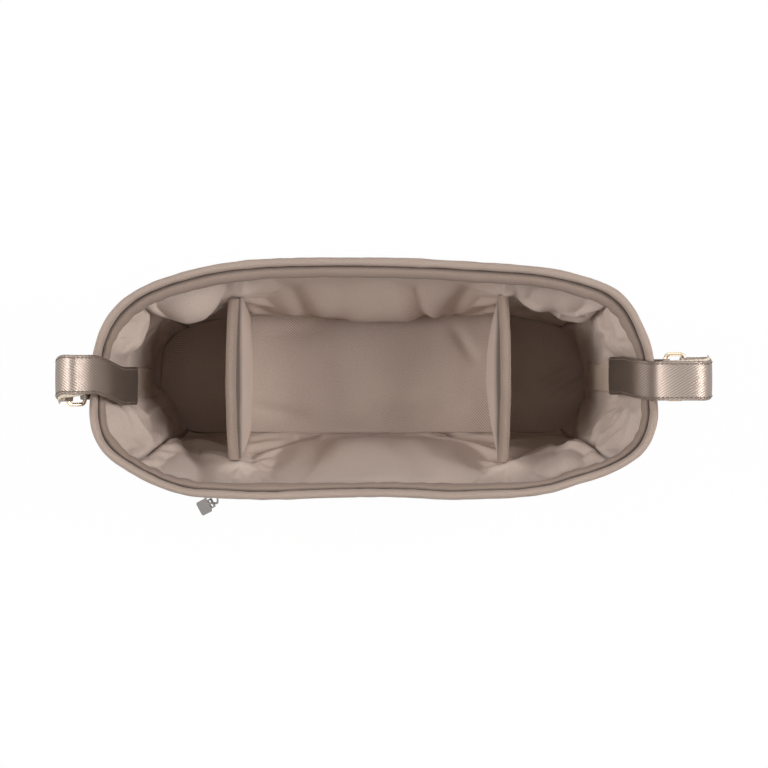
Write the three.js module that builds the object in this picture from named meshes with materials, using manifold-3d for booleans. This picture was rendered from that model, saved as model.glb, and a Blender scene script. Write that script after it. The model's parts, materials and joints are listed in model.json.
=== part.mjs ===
// Stroller organizer: an open padded fabric tub with two sewn dividers, a zipped flat pocket in its
// front wall and, at each end, a hook-and-loop strap on a metal ring.
// Millimetres, +Z up. The origin is under the middle of the base, and -Y is the pocket side.
import * as THREE from 'three';
import { mergeVertices } from 'three/addons/utils/BufferGeometryUtils.js';
import Module from 'manifold-3d';

// Tub: outer face of the outer fabric at the rim, and how far each wall leans in down to the base
const height = 140;
const rimHalfLength = 178.5;
const rimWidth = 153;
const rimFront = -80.5;
const rimWidestY = -24;
const rimCornerRun = 67;
const rimEndDepth = 23.5;
const rimCornerPower = 1.74;
const rimBackPower = 3.45;
const endLean = 28.5;
const backLean = 26.5;
const frontLean = 34.5;
const baseWidestY = -12;
const baseCornerRun = 34;
const baseEndDepth = 23;
const baseCornerPower = 2;
const baseBackPower = 4;
const bellyPower = 1.6;

// Layers of the wall, from the outside in
const gap = 0.3;
const shellThickness = 1.4;
const foamEase = 0.55;
const foamThickness = 3.55;
const frontFoamThickness = 1.1;
const pocketSheetThickness = 0.5;
const liningThickness = 0.9;
const liningSlack = 5;
const slackPower = 1.3;
const boardThickness = 2;

// Rolled rim and the facing band under it
const pipingRadius = 3.6;
const pipingSkin = 1.1;
const pipingFlange = 8.4;
const flangeSkin = 0.8;
const flangeHalfSlot = 0.4;
const facingDepth = 13.5;

// Dividers
const dividerX = 87;
const dividerDrop = 47;
const dividerThickness = 6.6;
const dividerNeckThickness = 2.6;
const dividerNeckHeight = 9;
const dividerShoulder = 7;
const bindingSkin = 0.9;
const bindingDepth = 7;
const bindingCrown = 1.45;

// Zip, with its own axes: x along the front, y into the wall, z up the wall
const zipDrop = 22;
const tapeEndReach = 1.6;
const tapeThickness = 0.5;
const tapeWidth = 7.5;
const tapeSplit = 2;
const windowHeight = 10;
const windowEndMargin = 2.2;
const toothPitch = 3.3;
const toothWidth = 1.2;
const toothReach = 0.8;
const toothThickness = 1.8;
const toothStripWidth = 1.3;
const stopLength = 1.6;
const zipFacetDrop = 40;

// Zip slider and its puller
const sliderLength = 10;
const sliderFrontWidth = 8.6;
const sliderRearWidth = 7.2;
const sliderPlate = 1;
const sliderBackPlate = 0.8;
const sliderNose = 1.5;
const sliderTail = 1;
const sliderFlange = 0.8;
const flangeFrontMargin = 2;
const flangeRearMargin = 1.2;
const flangeEdgeMargin = 0.1;
const postLength = 2.2;
const postWidth = 1.5;
const bailLength = 8.8;
const bailWidth = 1.5;
const bailBar = 1.2;
const bailOpening = 3.4;
const bailCorner = 1.4;
const bailInnerCorner = 0.5;
const pullerLength = 18.5;
const pullerWidth = 9.4;
const pullerThickness = 1.1;
const pullerEyeLength = 4.2;
const pullerEyeWidth = 4.4;
const pullerEyeBar = 0.9;
const pullerEyeCorner = 0.8;
const pullerShoulder = 2;
const pullerCorner = 1.2;
const pullerYaw = 62;
const pullerDroop = 58;

// Straps, rings and tabs
const strapWidth = 25;
const strapThickness = 1.4;
const strapLineY = -4;
const hookThickness = 1.2;
const hookWidth = 21;
const hookLength = 34;
const patchThickness = 1.2;
const patchWidth = 20;
const patchDrop = 26;
const patchBottom = 22;
const ringWire = 2.6;
const ringDepth = 12;
const ringCorner = 3;
const ringSideClearance = 0.6;
const barClearance = 0.5;
const ringDrop = 8;
const tabWidth = 23;
const tabDrop = 38;
const tabSewnDrop = 22;
const tabEase = 0.1;
const tabSwell = 0.5;
const tabNeckDrop = 5;
const tabNeckRoom = 0.6;
const tabHemStep = 3;
const legDrop = 61;
const sewnLength = 8.5;
const sewnStart = 4;
const hookMargin = 1;

// Side view of a strap's loop, from the ring up, over and down into the tub
const flankIn = 1.6;
const flankDown = 3;
const bulgeUp = 2;
const bendIn = 4;
const bendDown = 3.5;
const crownIn = 11;
const overRimOut = 1;
const overRimDown = 4;
const pastRimIn = 5.5;
const pastRimDown = 12;
const restIn = 0.6;
const restUp = 4;

// What differs between the two ends: how far the tab and the loop stand out and up, how the ring
// tilts, and how far strap and ring sit off their common line
const leftTabReach = 4.6;
const leftRingTilt = 35;
const leftLeaveAngle = 62;
const leftLoopReach = 21;
const leftLoopRise = 24;
const leftRingShift = -2.5;
const leftTopShift = 2;
const leftEndShift = -5;
const rightTabReach = 6.6;
const rightRingTilt = 0;
const rightLeaveAngle = 8;
const rightLoopReach = 34.5;
const rightLoopRise = 20;
const rightRingShift = 0.8;
const rightTopShift = -1.8;
const rightEndShift = 1.5;

// Facets
const arcSteps = 60;
const cornerStations = 5;
const endStations = 10;
const halfBackStations = 7;
const turnWeight = 45;
const wallLevels = [0.14, 0.3, 0.5, 0.74, 1].map((share) => share * (height - zipFacetDrop));

const rimBack = rimFront + rimWidth;
const baseHalfLength = rimHalfLength - endLean;
const baseBack = rimBack - backLean;
const baseFront = rimFront + frontLean;

const wasm = await Module();
wasm.setup();

const colours = {
  shell: 0x96816f,
  facing: 0x968276,
  lining: 0xa5938a,
  foam: 0xd8d4cc,
  board: 0x55504c,
  webbing: 0x7a675c,
  loop: 0x8c7466,
  metal: 0xb8a58c,
  zip: 0x6b5d55,
  puller: 0x8b827d,
};
const organizer = new THREE.Group();

function finish(colour, roughness, metalness = 0) {
  return new THREE.MeshStandardMaterial({ color: colour, roughness, metalness });
}

function addMesh(name, geometry, material, parent = organizer) {
  const mesh = new THREE.Mesh(geometry, material);
  mesh.name = name;
  parent.add(mesh);
  return mesh;
}

// Booleans on closed geometries
function toSolid(geometry) {
  const bare = new THREE.BufferGeometry();
  bare.setAttribute('position', geometry.getAttribute('position').clone());
  bare.setIndex(geometry.index);
  const merged = mergeVertices(bare, 1e-4);
  return new wasm.Manifold(new wasm.Mesh({
    numProp: 3,
    vertProperties: new Float32Array(merged.getAttribute('position').array),
    triVerts: new Uint32Array(merged.index.array),
  }));
}

function fromSolid(solid) {
  const mesh = solid.getMesh();
  const geometry = new THREE.BufferGeometry();
  geometry.setAttribute('position', new THREE.BufferAttribute(mesh.vertProperties, 3));
  geometry.setIndex(new THREE.BufferAttribute(mesh.triVerts, 1));
  return geometry;
}

// Six times the volume inside a list of triangles, negative if they face inwards
function signedVolume(points, triangles) {
  let sum = 0;
  for (const [a, b, c] of triangles) {
    sum += points[a].dot(new THREE.Vector3().crossVectors(points[b], points[c]));
  }
  return sum;
}

// A solid through a row of matching rings of points. An open row gets end caps that join the
// first half of a ring to its second half, as the two faces of a sheet.
function skin(rings, closed) {
  const around = rings[0].length;
  const points = rings.flat();
  const triangles = [];
  const pairs = closed ? rings.length : rings.length - 1;
  for (let i = 0; i < pairs; i += 1) {
    const here = i * around;
    const next = ((i + 1) % rings.length) * around;
    for (let j = 0; j < around; j += 1) {
      const k = (j + 1) % around;
      triangles.push([here + j, next + j, next + k], [here + j, next + k, here + k]);
    }
  }
  if (!closed) {
    const last = (rings.length - 1) * around;
    for (let j = 0; j < around / 2 - 1; j += 1) {
      const far = around - 1 - j;
      triangles.push([j, j + 1, far - 1], [j, far - 1, far]);
      triangles.push([last + j, last + far - 1, last + j + 1], [last + j, last + far, last + far - 1]);
    }
  }
  const inward = signedVolume(points, triangles) < 0;
  const order = triangles.flatMap(([a, b, c]) => (inward ? [a, c, b] : [a, b, c]));
  const geometry = new THREE.BufferGeometry().setFromPoints(points);
  geometry.setIndex(order);
  return geometry;
}

function extrude(shape, depth) {
  return new THREE.ExtrudeGeometry(shape, { depth, bevelEnabled: false, curveSegments: 4 });
}

// A rounded rectangle centred on a point
function roundedRectangle(width, length, radius, centreX = 0, centreY = 0) {
  const x = width / 2;
  const y = length / 2;
  const shape = new THREE.Shape();
  shape.absarc(centreX + x - radius, centreY - y + radius, radius, -Math.PI / 2, 0);
  shape.absarc(centreX + x - radius, centreY + y - radius, radius, 0, Math.PI / 2);
  shape.absarc(centreX - x + radius, centreY + y - radius, radius, Math.PI / 2, Math.PI);
  shape.absarc(centreX - x + radius, centreY - y + radius, radius, Math.PI, Math.PI * 1.5);
  return shape;
}

// Outline of the tub at a height: a straight front with round corners, and a fuller back
function outline(z) {
  const rise = 1 - (1 - z / height) ** bellyPower;
  const mix = (atBase, atRim) => atBase + (atRim - atBase) * rise;
  const half = mix(baseHalfLength, rimHalfLength);
  return {
    half,
    back: mix(baseBack, rimBack),
    front: mix(baseFront, rimFront),
    widest: mix(baseWidestY, rimWidestY),
    flat: half - mix(baseCornerRun, rimCornerRun),
    seam: half - mix(baseEndDepth, rimEndDepth),
    cornerPower: mix(baseCornerPower, rimCornerPower),
    backPower: mix(baseBackPower, rimBackPower),
  };
}

// Fine points of the right half of an outline, from the middle of the front to the middle of the back
function rightHalf(o) {
  const points = [{ x: 0, y: o.front }];
  for (let k = 0; k <= arcSteps; k += 1) {
    const turn = (Math.PI / 2) * (1 - k / arcSteps);
    const x = o.flat + (o.half - o.flat) * Math.cos(turn) ** (2 / o.cornerPower);
    points.push({ x, y: o.widest - (o.widest - o.front) * Math.sin(turn) ** (2 / o.cornerPower) });
  }
  for (let k = 1; k <= arcSteps; k += 1) {
    const turn = (Math.PI / 2) * (k / arcSteps);
    const x = o.half * Math.cos(turn) ** (2 / o.backPower);
    points.push({ x, y: o.widest + (o.back - o.widest) * Math.sin(turn) ** (2 / o.backPower) });
  }
  points.forEach((p, i) => {
    const before = points[Math.max(i - 1, 0)];
    const after = points[Math.min(i + 1, points.length - 1)];
    const length = Math.hypot(after.x - before.x, after.y - before.y);
    p.nx = (after.y - before.y) / length;
    p.ny = (before.x - after.x) / length;
  });
  return points;
}

function between(a, b, share) {
  const mix = (key) => a[key] + (b[key] - a[key]) * share;
  const length = Math.hypot(mix('nx'), mix('ny'));
  return { x: mix('x'), y: mix('y'), nx: mix('nx') / length, ny: mix('ny') / length };
}

// Stations along fine points, closer together where the outline turns
function stationsAlong(points, count) {
  const reach = [0];
  for (let i = 1; i < points.length; i += 1) {
    const a = points[i - 1];
    const b = points[i];
    const turn = Math.acos(Math.min(1, a.nx * b.nx + a.ny * b.ny));
    reach.push(reach[i - 1] + Math.hypot(b.x - a.x, b.y - a.y) + turnWeight * turn);
  }
  const stations = [];
  let i = 1;
  for (let k = 0; k <= count; k += 1) {
    const target = (reach[reach.length - 1] * k) / count;
    while (i < points.length - 1 && reach[i] < target) {
      i += 1;
    }
    stations.push(between(points[i - 1], points[i], (target - reach[i - 1]) / (reach[i] - reach[i - 1])));
  }
  return stations;
}

const mirrored = (stations) => stations.map((s) => ({ ...s, x: -s.x, nx: -s.nx })).reverse();

// Stations of the four wall panels at a height, counter-clockwise from above
const stationCache = new Map();
function wallStations(z) {
  if (!stationCache.has(z)) {
    const o = outline(z);
    const fine = rightHalf(o);
    const rising = fine.findIndex((p) => p.x > o.seam);
    const falling = fine.findLastIndex((p) => p.x > o.seam);
    const crossing = (i) => {
      const [a, b] = [fine[i], fine[i + 1]];
      return between(a, b, (o.seam - a.x) / (b.x - a.x));
    };
    const frontSeam = crossing(rising - 1);
    const backSeam = crossing(falling);
    const corner = stationsAlong([...fine.slice(1, rising), frontSeam], cornerStations);
    const end = stationsAlong([frontSeam, ...fine.slice(rising, falling + 1), backSeam], endStations);
    const back = stationsAlong([backSeam, ...fine.slice(falling + 1)], halfBackStations);
    stationCache.set(z, {
      front: [...mirrored(corner), ...corner],
      right_end: end,
      back: [...back, ...mirrored(back).slice(1)],
      left_end: mirrored(end),
    });
  }
  return stationCache.get(z);
}

function wallPoint(station, z, inset) {
  return new THREE.Vector3(station.x - station.nx * inset, station.y - station.ny * inset, z);
}

// All stations round the tub, as one closed row
function ringStations(z) {
  const panels = wallStations(z);
  return [panels.front, panels.right_end, panels.back, panels.left_end].flatMap((row) => row.slice(0, -1));
}

// A flat sheet's outline at a height, set in from the outer face
function floorShape(z, inset) {
  return new THREE.Shape(ringStations(z).map((s) => {
    const p = wallPoint(s, z, inset);
    return new THREE.Vector2(p.x, p.y);
  }));
}

function levelsBetween(low, high) {
  return [low, ...wallLevels.filter((z) => z > low && z < high), high];
}

// Moves the end points of a row towards their neighbours, for the gap at a seam
function openSeams(row) {
  const trimmed = row.map((p) => p.clone());
  const last = row.length - 1;
  const step = (from, to) => to.clone().sub(from).setLength(gap / 2);
  trimmed[0].add(step(row[0], row[1]));
  trimmed[last].add(step(row[last], row[last - 1]));
  return trimmed;
}

// One wall panel between two depths, each a function of height
function wallPanel(panel, low, high, outerInset, innerInset) {
  const levels = levelsBetween(low, high);
  const rowAt = (z, inset) => openSeams(wallStations(z)[panel].map((s) => wallPoint(s, z, inset)));
  const outer = levels.map((z) => rowAt(z, outerInset(z)));
  const inner = levels.map((z) => rowAt(z, innerInset(z))).reverse();
  const rows = [...outer, ...inner];
  return skin(rows[0].map((_, i) => rows.map((row) => row[i])), false);
}

// A strip round the whole rim, its section given as depth and height
function rimStrip(section) {
  const rows = section.map(({ inset, z }) => ringStations(z).map((s) => wallPoint(s, z, inset)));
  return skin(rows[0].map((_, i) => rows.map((row) => row[i])), true);
}

// Depths and heights that the pieces share
const foamOuter = shellThickness + foamEase;
const foamInner = foamOuter + foamThickness;
const liningOuter = foamInner + gap;
const liningInner = liningOuter + liningThickness;
const pocketSheetInner = foamInner - frontFoamThickness - gap;
const boardBottom = shellThickness + gap;
const floorBottom = boardBottom + boardThickness + gap;
const floorTop = floorBottom + liningThickness;
const pipingZ = height - pipingRadius;
const pipingInset = liningInner / 2;
const flangeBottom = pipingZ - pipingFlange;
const foamTop = flangeBottom - gap;
const wallTop = height - 2 * pipingRadius - gap;
const facingBottom = wallTop - facingDepth;
const dividerTop = height - dividerDrop;
const slackAt = (z) => liningSlack * Math.sin(Math.PI * (z / height) ** slackPower);
const fixed = (inset) => () => inset;
const slackened = (inset) => (z) => inset + slackAt(z);

const fabric = finish(colours.shell, 0.95);
const liningFabric = finish(colours.lining, 0.8);
const foam = finish(colours.foam, 1);
const panels = ['front', 'back', 'left_end', 'right_end'];

// Where the front wall is flat: one facet of the outer fabric, from the last level to the wall's top
const zipZ = height - zipDrop;
const facetLow = wallLevels[wallLevels.length - 1];
const facetLean = (outline(facetLow).front - outline(wallTop).front) / (wallTop - facetLow);
const zipY = outline(facetLow).front - facetLean * (zipZ - facetLow);
const zipFrame = new THREE.Group();
zipFrame.position.set(0, zipY, zipZ);
zipFrame.rotation.x = Math.atan(facetLean);
zipFrame.updateMatrix();
const tapeHalf = Math.min(outline(facetLow).flat, outline(wallTop).flat) + tapeEndReach;
const windowHalf = tapeHalf - windowEndMargin;
organizer.add(zipFrame);

// Shapes drawn on the front wall: x along the front, y up the wall, extruded from one depth to another
function onFront(shape, fromDepth, toDepth) {
  const geometry = extrude(shape, toDepth - fromDepth);
  geometry.rotateX(Math.PI / 2);
  return geometry.translate(0, toDepth, 0);
}

function box(x0, x1, z0, z1) {
  return new THREE.Shape([[x0, z0], [x1, z0], [x1, z1], [x0, z1]].map(([x, z]) => new THREE.Vector2(x, z)));
}

function addTub() {
  const floorSheet = (z, inset, depth) => extrude(floorShape(z, inset), depth).translate(0, 0, z);
  addMesh('outer_base', floorSheet(0, 0, shellThickness), fabric);
  addMesh('base_board', floorSheet(boardBottom, foamOuter, boardThickness), finish(colours.board, 0.6));
  addMesh('lining_base', floorSheet(floorBottom, liningInner + gap, liningThickness), liningFabric);
  for (const panel of panels) {
    const front = panel === 'front';
    const shell = wallPanel(panel, boardBottom, wallTop, fixed(0), fixed(shellThickness));
    addMesh(`outer_${panel}`, front ? withZipWindow(shell) : shell, fabric);
    const foamFrom = front ? pocketSheetInner + gap : foamOuter;
    const padding = wallPanel(panel, floorBottom, foamTop, fixed(foamFrom), fixed(foamInner));
    addMesh(`foam_${panel}`, padding, foam);
    const lining = wallPanel(
      panel,
      floorBottom,
      facingBottom - gap,
      slackened(liningOuter),
      slackened(liningInner),
    );
    addMesh(`lining_${panel}`, lining, liningFabric);
  }
  const pocketSheetOuter = pocketSheetInner - pocketSheetThickness;
  const pocketTop = foamTop - gap;
  const faces = [fixed(pocketSheetOuter), fixed(pocketSheetInner)];
  addMesh('pocket_sheet', wallPanel('front', wallLevels[0], pocketTop, ...faces), liningFabric);
}

function withZipWindow(shell) {
  const shape = roundedRectangle(2 * windowHalf, windowHeight, windowHeight / 3);
  const slot = onFront(shape, -foamInner, foamInner).applyMatrix4(zipFrame.matrix);
  return fromSolid(toSolid(shell).subtract(toSolid(slot)));
}

// The rim roll is a fabric sleeve, open underneath, whose two edges run down inside the wall
function addRim() {
  const outerSteps = 8;
  const innerSteps = 6;
  const section = [];
  const put = (across, up) => section.push({ inset: pipingInset + across, z: pipingZ + up });
  const arc = (radius, halfOpening, steps, direction) => {
    const open = Math.asin(halfOpening / radius);
    for (let k = 0; k <= steps; k += 1) {
      const turn = open + ((2 * Math.PI - 2 * open) * k) / steps;
      put(direction * radius * Math.sin(turn), -radius * Math.cos(turn));
    }
  };
  const leaf = flangeHalfSlot + flangeSkin;
  put(leaf, -pipingFlange);
  arc(pipingRadius, leaf, outerSteps, 1);
  put(-leaf, -pipingFlange);
  put(-flangeHalfSlot, -pipingFlange);
  arc(pipingRadius - pipingSkin, flangeHalfSlot, innerSteps, -1);
  put(flangeHalfSlot, -pipingFlange);
  addMesh('rim_piping', rimStrip(section), fabric);

  const cordSides = 6;
  const cordRadius = pipingRadius - pipingSkin - 2 * gap;
  const cord = [];
  for (let k = 0; k < cordSides; k += 1) {
    const turn = (2 * Math.PI * k) / cordSides;
    const [inwards, up] = [cordRadius * Math.cos(turn), cordRadius * Math.sin(turn)];
    cord.push({ inset: pipingInset + inwards, z: pipingZ + up });
  }
  addMesh('rim_cord', rimStrip(cord), finish(colours.foam, 0.9));

  const facing = [
    { inset: liningOuter + slackAt(facingBottom), z: facingBottom },
    { inset: liningOuter + slackAt(wallTop), z: wallTop },
    { inset: liningInner + slackAt(wallTop), z: wallTop },
    { inset: liningInner + slackAt(facingBottom), z: facingBottom },
  ];
  addMesh('rim_facing', rimStrip(facing), finish(colours.facing, 0.95));
}

// The lining's inner face, facet by facet: one row of points per level, for one panel
function liningRows(panel) {
  const levels = [...levelsBetween(floorBottom, facingBottom - gap), wallTop];
  return levels.map((z) => ({
    z,
    row: wallStations(z)[panel].map((s) => wallPoint(s, z, liningInner + slackAt(z))),
  }));
}

// Where a row of points crosses a value of one coordinate, read in the other coordinate
function crossRow(row, along, at, read) {
  const i = row.findIndex((p, k) => k > 0 && (p[along] - at) * (row[k - 1][along] - at) <= 0);
  const a = row[i - 1];
  const b = row[i];
  return a[read] + ((b[read] - a[read]) * (at - a[along])) / (b[along] - a[along]);
}

// Inner face of a lining panel at a height, by straight facets between its levels
function liningFace(panel, z, along, at, read) {
  const rows = liningRows(panel);
  const k = Math.max(1, rows.findIndex((r) => r.z >= z));
  const low = crossRow(rows[k - 1].row, along, at, read);
  const high = crossRow(rows[k].row, along, at, read);
  return low + ((high - low) * (z - rows[k - 1].z)) / (rows[k].z - rows[k - 1].z);
}

// Divider: rings of a rectangle at each height, drawn in at the neck, set in all round by an offset
function dividerSolid(x, offset, low, high) {
  const neckBottom = dividerTop - dividerNeckHeight;
  const levels = [low, ...wallLevels.filter((z) => z > low && z < neckBottom - dividerShoulder)];
  levels.push(neckBottom - dividerShoulder, neckBottom, high);
  return skin(levels.map((z) => {
    const thickness = z < neckBottom ? dividerThickness : dividerNeckThickness;
    const half = thickness / 2 - offset;
    const sides = [x - dividerThickness / 2, x + dividerThickness / 2];
    const zFace = Math.max(z, floorBottom);
    const front = Math.max(...sides.map((s) => liningFace('front', zFace, 'x', s, 'y'))) + gap + offset;
    const back = Math.min(...sides.map((s) => liningFace('back', zFace, 'x', s, 'y'))) - gap - offset;
    return [
      new THREE.Vector3(x - half, front, z),
      new THREE.Vector3(x - half, back, z),
      new THREE.Vector3(x + half, back, z),
      new THREE.Vector3(x + half, front, z),
    ];
  }), false);
}

function addDivider(side, x) {
  const low = floorTop + gap;
  const shell = toSolid(dividerSolid(x, 0, low, dividerTop));
  const hollow = toSolid(dividerSolid(x, liningThickness, low - gap, dividerTop - liningThickness));
  addMesh(`divider_${side}_cover`, fromSolid(shell.subtract(hollow)), liningFabric);
  const coreOffset = liningThickness + gap;
  addMesh(`divider_${side}_foam`, dividerSolid(x, coreOffset, low, dividerTop - coreOffset), foam);

  // The binding is a folded tape over the top edge
  const innerHalf = dividerNeckThickness / 2 + gap;
  const outerHalf = innerHalf + bindingSkin;
  const legBottom = dividerTop - bindingDepth;
  const crown = dividerTop + gap;
  const fold = new THREE.Shape();
  fold.moveTo(outerHalf, legBottom);
  fold.lineTo(outerHalf, crown);
  fold.absellipse(0, crown, outerHalf, bindingCrown, 0, Math.PI);
  fold.lineTo(-outerHalf, legBottom);
  fold.lineTo(-innerHalf, legBottom);
  fold.lineTo(-innerHalf, crown);
  fold.lineTo(innerHalf, crown);
  fold.lineTo(innerHalf, legBottom);
  const reach = (panel, pick) => pick(...[legBottom, dividerTop].flatMap((z) => [-outerHalf, outerHalf].map(
    (dx) => liningFace(panel, z, 'x', x + dx, 'y'),
  )));
  const front = reach('front', Math.max) + gap;
  const back = reach('back', Math.min) - gap;
  const binding = extrude(fold, back - front);
  binding.rotateX(Math.PI / 2).translate(x, back, 0);
  addMesh(`divider_${side}_binding`, binding, finish(colours.facing, 0.9));
}

// Zip teeth: a strip with teeth that reach across the middle, upper and lower rows interleaved
function toothRow(up, from, count) {
  const stripEdge = toothReach + gap;
  const shape = new THREE.Shape();
  const length = count * toothPitch;
  shape.moveTo(from, up * (stripEdge + toothStripWidth));
  shape.lineTo(from, up * stripEdge);
  for (let k = 0; k < count; k += 1) {
    const start = from + k * toothPitch + gap + (up > 0 ? 0 : toothPitch / 2);
    shape.lineTo(start, up * stripEdge);
    shape.lineTo(start, -up * toothReach);
    shape.lineTo(start + toothWidth, -up * toothReach);
    shape.lineTo(start + toothWidth, up * stripEdge);
  }
  shape.lineTo(from + length, up * stripEdge);
  shape.lineTo(from + length, up * (stripEdge + toothStripWidth));
  return shape;
}

const tapeOuter = shellThickness + gap;
const tapeInner = tapeOuter + tapeThickness;
const toothInner = tapeOuter - gap;
const toothOuter = toothInner - toothThickness;
const stopReach = windowHalf - 2 * gap;
const sliderX = -(stopReach - stopLength - gap - sliderLength / 2);

function addZip() {
  const tapeFinish = finish(colours.zip, 0.9);
  const metal = finish(colours.puller, 0.35, 0.9);
  const teethFrom = sliderX - sliderLength / 2 + postLength + 3 * gap;
  const teethCount = Math.floor((stopReach - stopLength - gap - teethFrom) / toothPitch);
  const teethTo = teethFrom + teethCount * toothPitch;
  const stripOuter = toothReach + gap + toothStripWidth;
  for (const [row, up] of [['upper', 1], ['lower', -1]]) {
    const edges = [up * (tapeSplit / 2), up * (tapeSplit / 2 + tapeWidth)].sort((a, b) => a - b);
    const tape = onFront(box(-tapeHalf, tapeHalf, ...edges), tapeOuter, tapeInner);
    addMesh(`zip_tape_${row}`, tape, tapeFinish, zipFrame);
    const teeth = onFront(toothRow(up, teethFrom, teethCount), toothOuter, toothInner);
    addMesh(`zip_teeth_${row}`, teeth, tapeFinish, zipFrame);
    const span = [up * (toothReach + gap), up * stripOuter].sort((a, b) => a - b);
    const stop = onFront(box(-stopReach, stopLength - stopReach, ...span), toothOuter, toothInner);
    addMesh(`zip_top_stop_${row}`, stop, metal, zipFrame);
  }
  const bottom = box(teethTo + gap, teethTo + gap + stopLength, -stripOuter, stripOuter);
  addMesh('zip_bottom_stop', onFront(bottom, toothOuter, toothInner), metal, zipFrame);
  addMesh('zip_slider', sliderGeometry(), metal, zipFrame);
  addMesh('zip_puller', pullerGeometry(), metal, organizer);
}

const plateTop = toothOuter - gap - sliderPlate;
const bailCentre = plateTop - bailOpening - bailBar / 2;

// Slider: two plates, the post that parts the teeth, edge flanges round the rows and a bail on top
function sliderGeometry() {
  const half = sliderLength / 2;
  const plate = new THREE.Shape();
  const wide = sliderFrontWidth / 2;
  const narrow = sliderRearWidth / 2;
  plate.moveTo(sliderX - half, -wide + sliderNose);
  plate.lineTo(sliderX - half + sliderNose, -wide);
  plate.lineTo(sliderX - sliderTail, -wide);
  plate.lineTo(sliderX + half - sliderTail, -narrow);
  plate.lineTo(sliderX + half, -narrow + sliderTail);
  plate.lineTo(sliderX + half, narrow - sliderTail);
  plate.lineTo(sliderX + half - sliderTail, narrow);
  plate.lineTo(sliderX - sliderTail, wide);
  plate.lineTo(sliderX - half + sliderNose, wide);
  plate.lineTo(sliderX - half, wide - sliderNose);
  const lowerTop = tapeInner + gap;
  const upperBottom = plateTop + sliderPlate;
  const postX = sliderX - half + postLength / 2 + gap;
  const post = box(postX - postLength / 2, postX + postLength / 2, -postWidth / 2, postWidth / 2);
  const sink = sliderPlate / 2;
  let body = toSolid(onFront(plate, plateTop, upperBottom));
  body = body.add(toSolid(onFront(plate, lowerTop, lowerTop + sliderBackPlate)));
  body = body.add(toSolid(onFront(post, upperBottom - sink, lowerTop + sink / 2)));
  for (const up of [1, -1]) {
    const outer = up * (narrow - flangeEdgeMargin);
    const sides = [outer, outer - up * sliderFlange].sort((a, b) => a - b);
    const flange = box(sliderX - half + flangeFrontMargin, sliderX + half - flangeRearMargin, ...sides);
    body = body.add(toSolid(onFront(flange, upperBottom - sink, tapeOuter - gap)));
  }
  return fromSolid(body.add(toSolid(bailGeometry(sink))));
}

function bailGeometry(sink) {
  const arch = new THREE.Shape();
  const rise = bailOpening + bailBar;
  const half = bailLength / 2;
  arch.moveTo(-half, -sink);
  const inside = half - bailBar;
  arch.lineTo(-half, rise - bailCorner);
  arch.quadraticCurveTo(-half, rise, -half + bailCorner, rise);
  arch.lineTo(half - bailCorner, rise);
  arch.quadraticCurveTo(half, rise, half, rise - bailCorner);
  arch.lineTo(half, -sink);
  arch.lineTo(inside, -sink);
  arch.lineTo(inside, bailOpening - bailInnerCorner);
  arch.lineTo(inside - bailInnerCorner, bailOpening);
  arch.lineTo(-inside + bailInnerCorner, bailOpening);
  arch.lineTo(-inside, bailOpening - bailInnerCorner);
  arch.lineTo(-inside, -sink);
  const geometry = extrude(arch, bailWidth);
  geometry.translate(0, 0, -bailWidth / 2);
  geometry.rotateX(Math.PI);
  return geometry.translate(sliderX, plateTop, 0);
}

// Puller: a flat tab whose eye holds the bail's bar. It stands out from the wall, turned to one side
function pullerGeometry() {
  const tab = new THREE.Shape();
  const eyeOuter = pullerEyeWidth / 2 + pullerEyeBar;
  const holeTop = -bailWidth / 2 - 2 * gap;
  const eyeTop = holeTop - pullerEyeBar;
  const neck = holeTop + pullerEyeLength + pullerEyeBar;
  const wide = pullerWidth / 2;
  const curve = pullerShoulder / 2;
  tab.moveTo(-eyeOuter + pullerEyeCorner, eyeTop);
  tab.lineTo(eyeOuter - pullerEyeCorner, eyeTop);
  tab.lineTo(eyeOuter, eyeTop + pullerEyeCorner);
  tab.lineTo(eyeOuter, neck - curve);
  tab.quadraticCurveTo(eyeOuter, neck + curve, wide, neck + pullerShoulder);
  tab.lineTo(wide, pullerLength - pullerCorner);
  tab.lineTo(wide - pullerCorner, pullerLength);
  tab.lineTo(-wide + pullerCorner, pullerLength);
  tab.lineTo(-wide, pullerLength - pullerCorner);
  tab.lineTo(-wide, neck + pullerShoulder);
  tab.quadraticCurveTo(-eyeOuter, neck + curve, -eyeOuter, neck - curve);
  tab.lineTo(-eyeOuter, eyeTop + pullerEyeCorner);
  const eyeMiddle = holeTop + pullerEyeLength / 2;
  tab.holes.push(roundedRectangle(pullerEyeWidth, pullerEyeLength, pullerEyeCorner, 0, eyeMiddle));
  const geometry = extrude(tab, pullerThickness).translate(0, 0, -pullerThickness / 2);
  const yaw = THREE.MathUtils.degToRad(pullerYaw);
  const droop = THREE.MathUtils.degToRad(pullerDroop);
  const across = new THREE.Vector3(Math.cos(yaw), -Math.sin(yaw), 0);
  const out = new THREE.Vector3(-Math.sin(yaw), -Math.cos(yaw), 0);
  const along = out.multiplyScalar(Math.cos(droop)).add(new THREE.Vector3(0, 0, -Math.sin(droop)));
  const turn = new THREE.Matrix4().makeBasis(across, along, across.clone().cross(along));
  const pivot = new THREE.Vector3(sliderX, bailCentre, 0).applyMatrix4(zipFrame.matrix);
  return geometry.applyMatrix4(turn.setPosition(pivot));
}

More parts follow.
